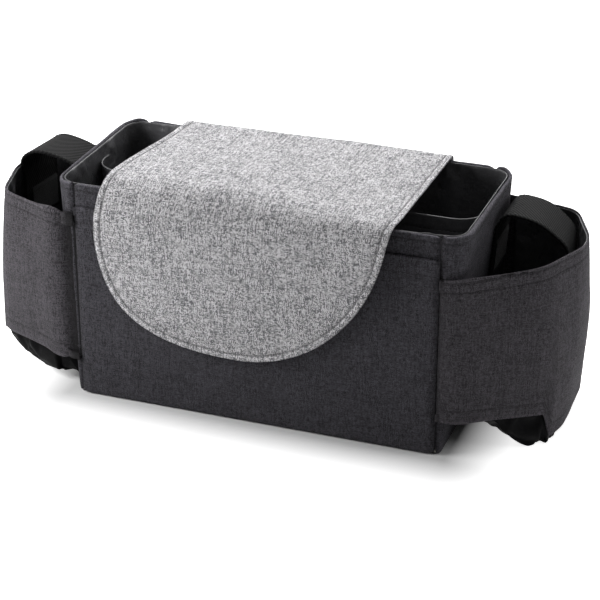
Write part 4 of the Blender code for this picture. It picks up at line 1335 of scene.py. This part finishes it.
def make_stage():
    """Pale floor that glows white for the camera away from the box's foot and keeps the lamps' soft shadow
    beside it; the glow fading out towards the foot also paints shadow there.
    """
    bpy.ops.mesh.primitive_plane_add(size=30)
    floor = bpy.context.object
    floor.name = "floor"
    shade = Shader("floor_white")
    shade.principled.inputs["Base Color"].default_value = (0.86, 0.86, 0.86, 1)
    shade.principled.inputs["Roughness"].default_value = 0.9
    shade.principled.inputs["Specular IOR Level"].default_value = 0.0
    light = shade.node("ShaderNodeLightPath")
    seen = shade.maths("MAXIMUM", light.outputs["Is Camera Ray"], light.outputs["Is Glossy Ray"])
    seen = shade.maths("MAXIMUM", seen, light.outputs["Is Transmission Ray"])
    x, y = shade.split(shade.node("ShaderNodeTexCoord").outputs["Object"])
    past_x = shade.maths("MAXIMUM", shade.maths("ABSOLUTE", x) - (SEAM_X + GLOW_BEYOND_SEAM), 0.0)
    past_y = shade.maths("MAXIMUM", shade.maths("ABSOLUTE", y) - HALF_DEPTH, 0.0)
    away = shade.maths("SQRT", past_x * past_x + past_y * past_y)
    # No glow near the box's foot, rising further out: painted shadow around the foot, on top of the real
    # shadow.
    white = shade.ranged(away, *GLOW_STARTS_AND_ENDS, 0.0, GLOW)
    glow = shade.node("ShaderNodeEmission")
    shade.feed(glow.inputs["Strength"], seen * white)
    joined = shade.node("ShaderNodeAddShader")
    shade.tree.links.new(shade.principled.outputs[0], joined.inputs[0])
    shade.tree.links.new(glow.outputs[0], joined.inputs[1])
    out = shade.tree.nodes["Material Output"]
    shade.tree.links.new(joined.outputs[0], out.inputs["Surface"])
    floor.data.materials.append(shade.material)


def make_world():
    world = bpy.data.worlds.new("studio")
    bpy.context.scene.world = world
    world.use_nodes = True
    tree = world.node_tree
    ambient = tree.nodes["Background"]
    ambient.inputs["Color"].default_value = (1.0, 1.0, 1.0, 1)
    path = tree.nodes.new("ShaderNodeLightPath")
    strength = tree.nodes.new("ShaderNodeMapRange")
    tree.links.new(path.outputs["Is Camera Ray"], strength.inputs["Value"])
    strength.inputs["To Min"].default_value = AMBIENT
    strength.inputs["To Max"].default_value = 1.0
    tree.links.new(strength.outputs[0], ambient.inputs["Strength"])


def area_light(name, place, target, size, power):
    data = bpy.data.lights.new(name, "AREA")
    data.shape = "DISK"
    data.size = size
    data.energy = power
    lamp = bpy.data.objects.new(name, data)
    lamp.location = place
    lamp.rotation_euler = (Vector(target) - Vector(place)).to_track_quat("-Z", "Y").to_euler()
    bpy.context.scene.collection.objects.link(lamp)


def make_lights():
    area_light("top_light", (-0.30, 1.20, 1.30), (0, 0, 0.1), 2.2, 57)
    area_light("left_light", (-0.47, -0.27, 0.33), (-0.12, 0, 0.08), 0.32, 2.5)
    area_light("right_light", (1.2, 0.15, 0.5), (0.1, 0, 0.08), 0.6, 3.3)


CAMERA_AZIMUTH = math.radians(20.08)
CAMERA_ELEVATION = math.radians(25.93)
CAMERA_DISTANCE = 1.4092
CAMERA_TARGET = (0.0101, 0.0, 0.0660)
LENS = 120
SENSOR = 36


def make_camera():
    data = bpy.data.cameras.new("camera")
    data.lens = LENS
    data.sensor_width = SENSOR
    camera = bpy.data.objects.new("camera", data)
    flat = math.cos(CAMERA_ELEVATION)
    x, y = math.sin(CAMERA_AZIMUTH) * flat, -math.cos(CAMERA_AZIMUTH) * flat
    back = Vector((x, y, math.sin(CAMERA_ELEVATION)))
    camera.location = Vector(CAMERA_TARGET) + Vector(MIDDLE) + back * CAMERA_DISTANCE
    camera.rotation_euler = (-back).to_track_quat("-Z", "Y").to_euler()
    bpy.context.scene.collection.objects.link(camera)
    bpy.context.scene.camera = camera


def main():
    bpy.context.scene.view_settings.view_transform = "Standard"
    body_stitches = Thread("body_stitches", DARK_THREAD, "shell")
    flap_stitches = Thread("flap_stitches", GREY_THREAD, "flap_cloth")
    make_front_and_back(body_stitches)
    make_sides(body_stitches)
    make_front_pocket(body_stitches)
    make_seam_tapes()
    make_base()
    make_lining()
    make_inner_pocket(body_stitches)
    make_flap(flap_stitches)
    for side_name, pocket in (("left", LEFT_POCKET), ("right", RIGHT_POCKET)):
        pocket_stitches = Thread(side_name + "_pocket_stitches", DARK_THREAD, "pocket_cloth")
        make_band(side_name, pocket, pocket_stitches)
        make_band_lining(side_name, pocket)
        make_pocket_bottom(side_name, pocket)
        make_strap(side_name, pocket, pocket_stitches)
        pocket_stitches.make()
    body_stitches.make()
    flap_stitches.make()
    repaint_nodes()
    make_stage()
    make_world()
    make_lights()
    make_camera()


main()
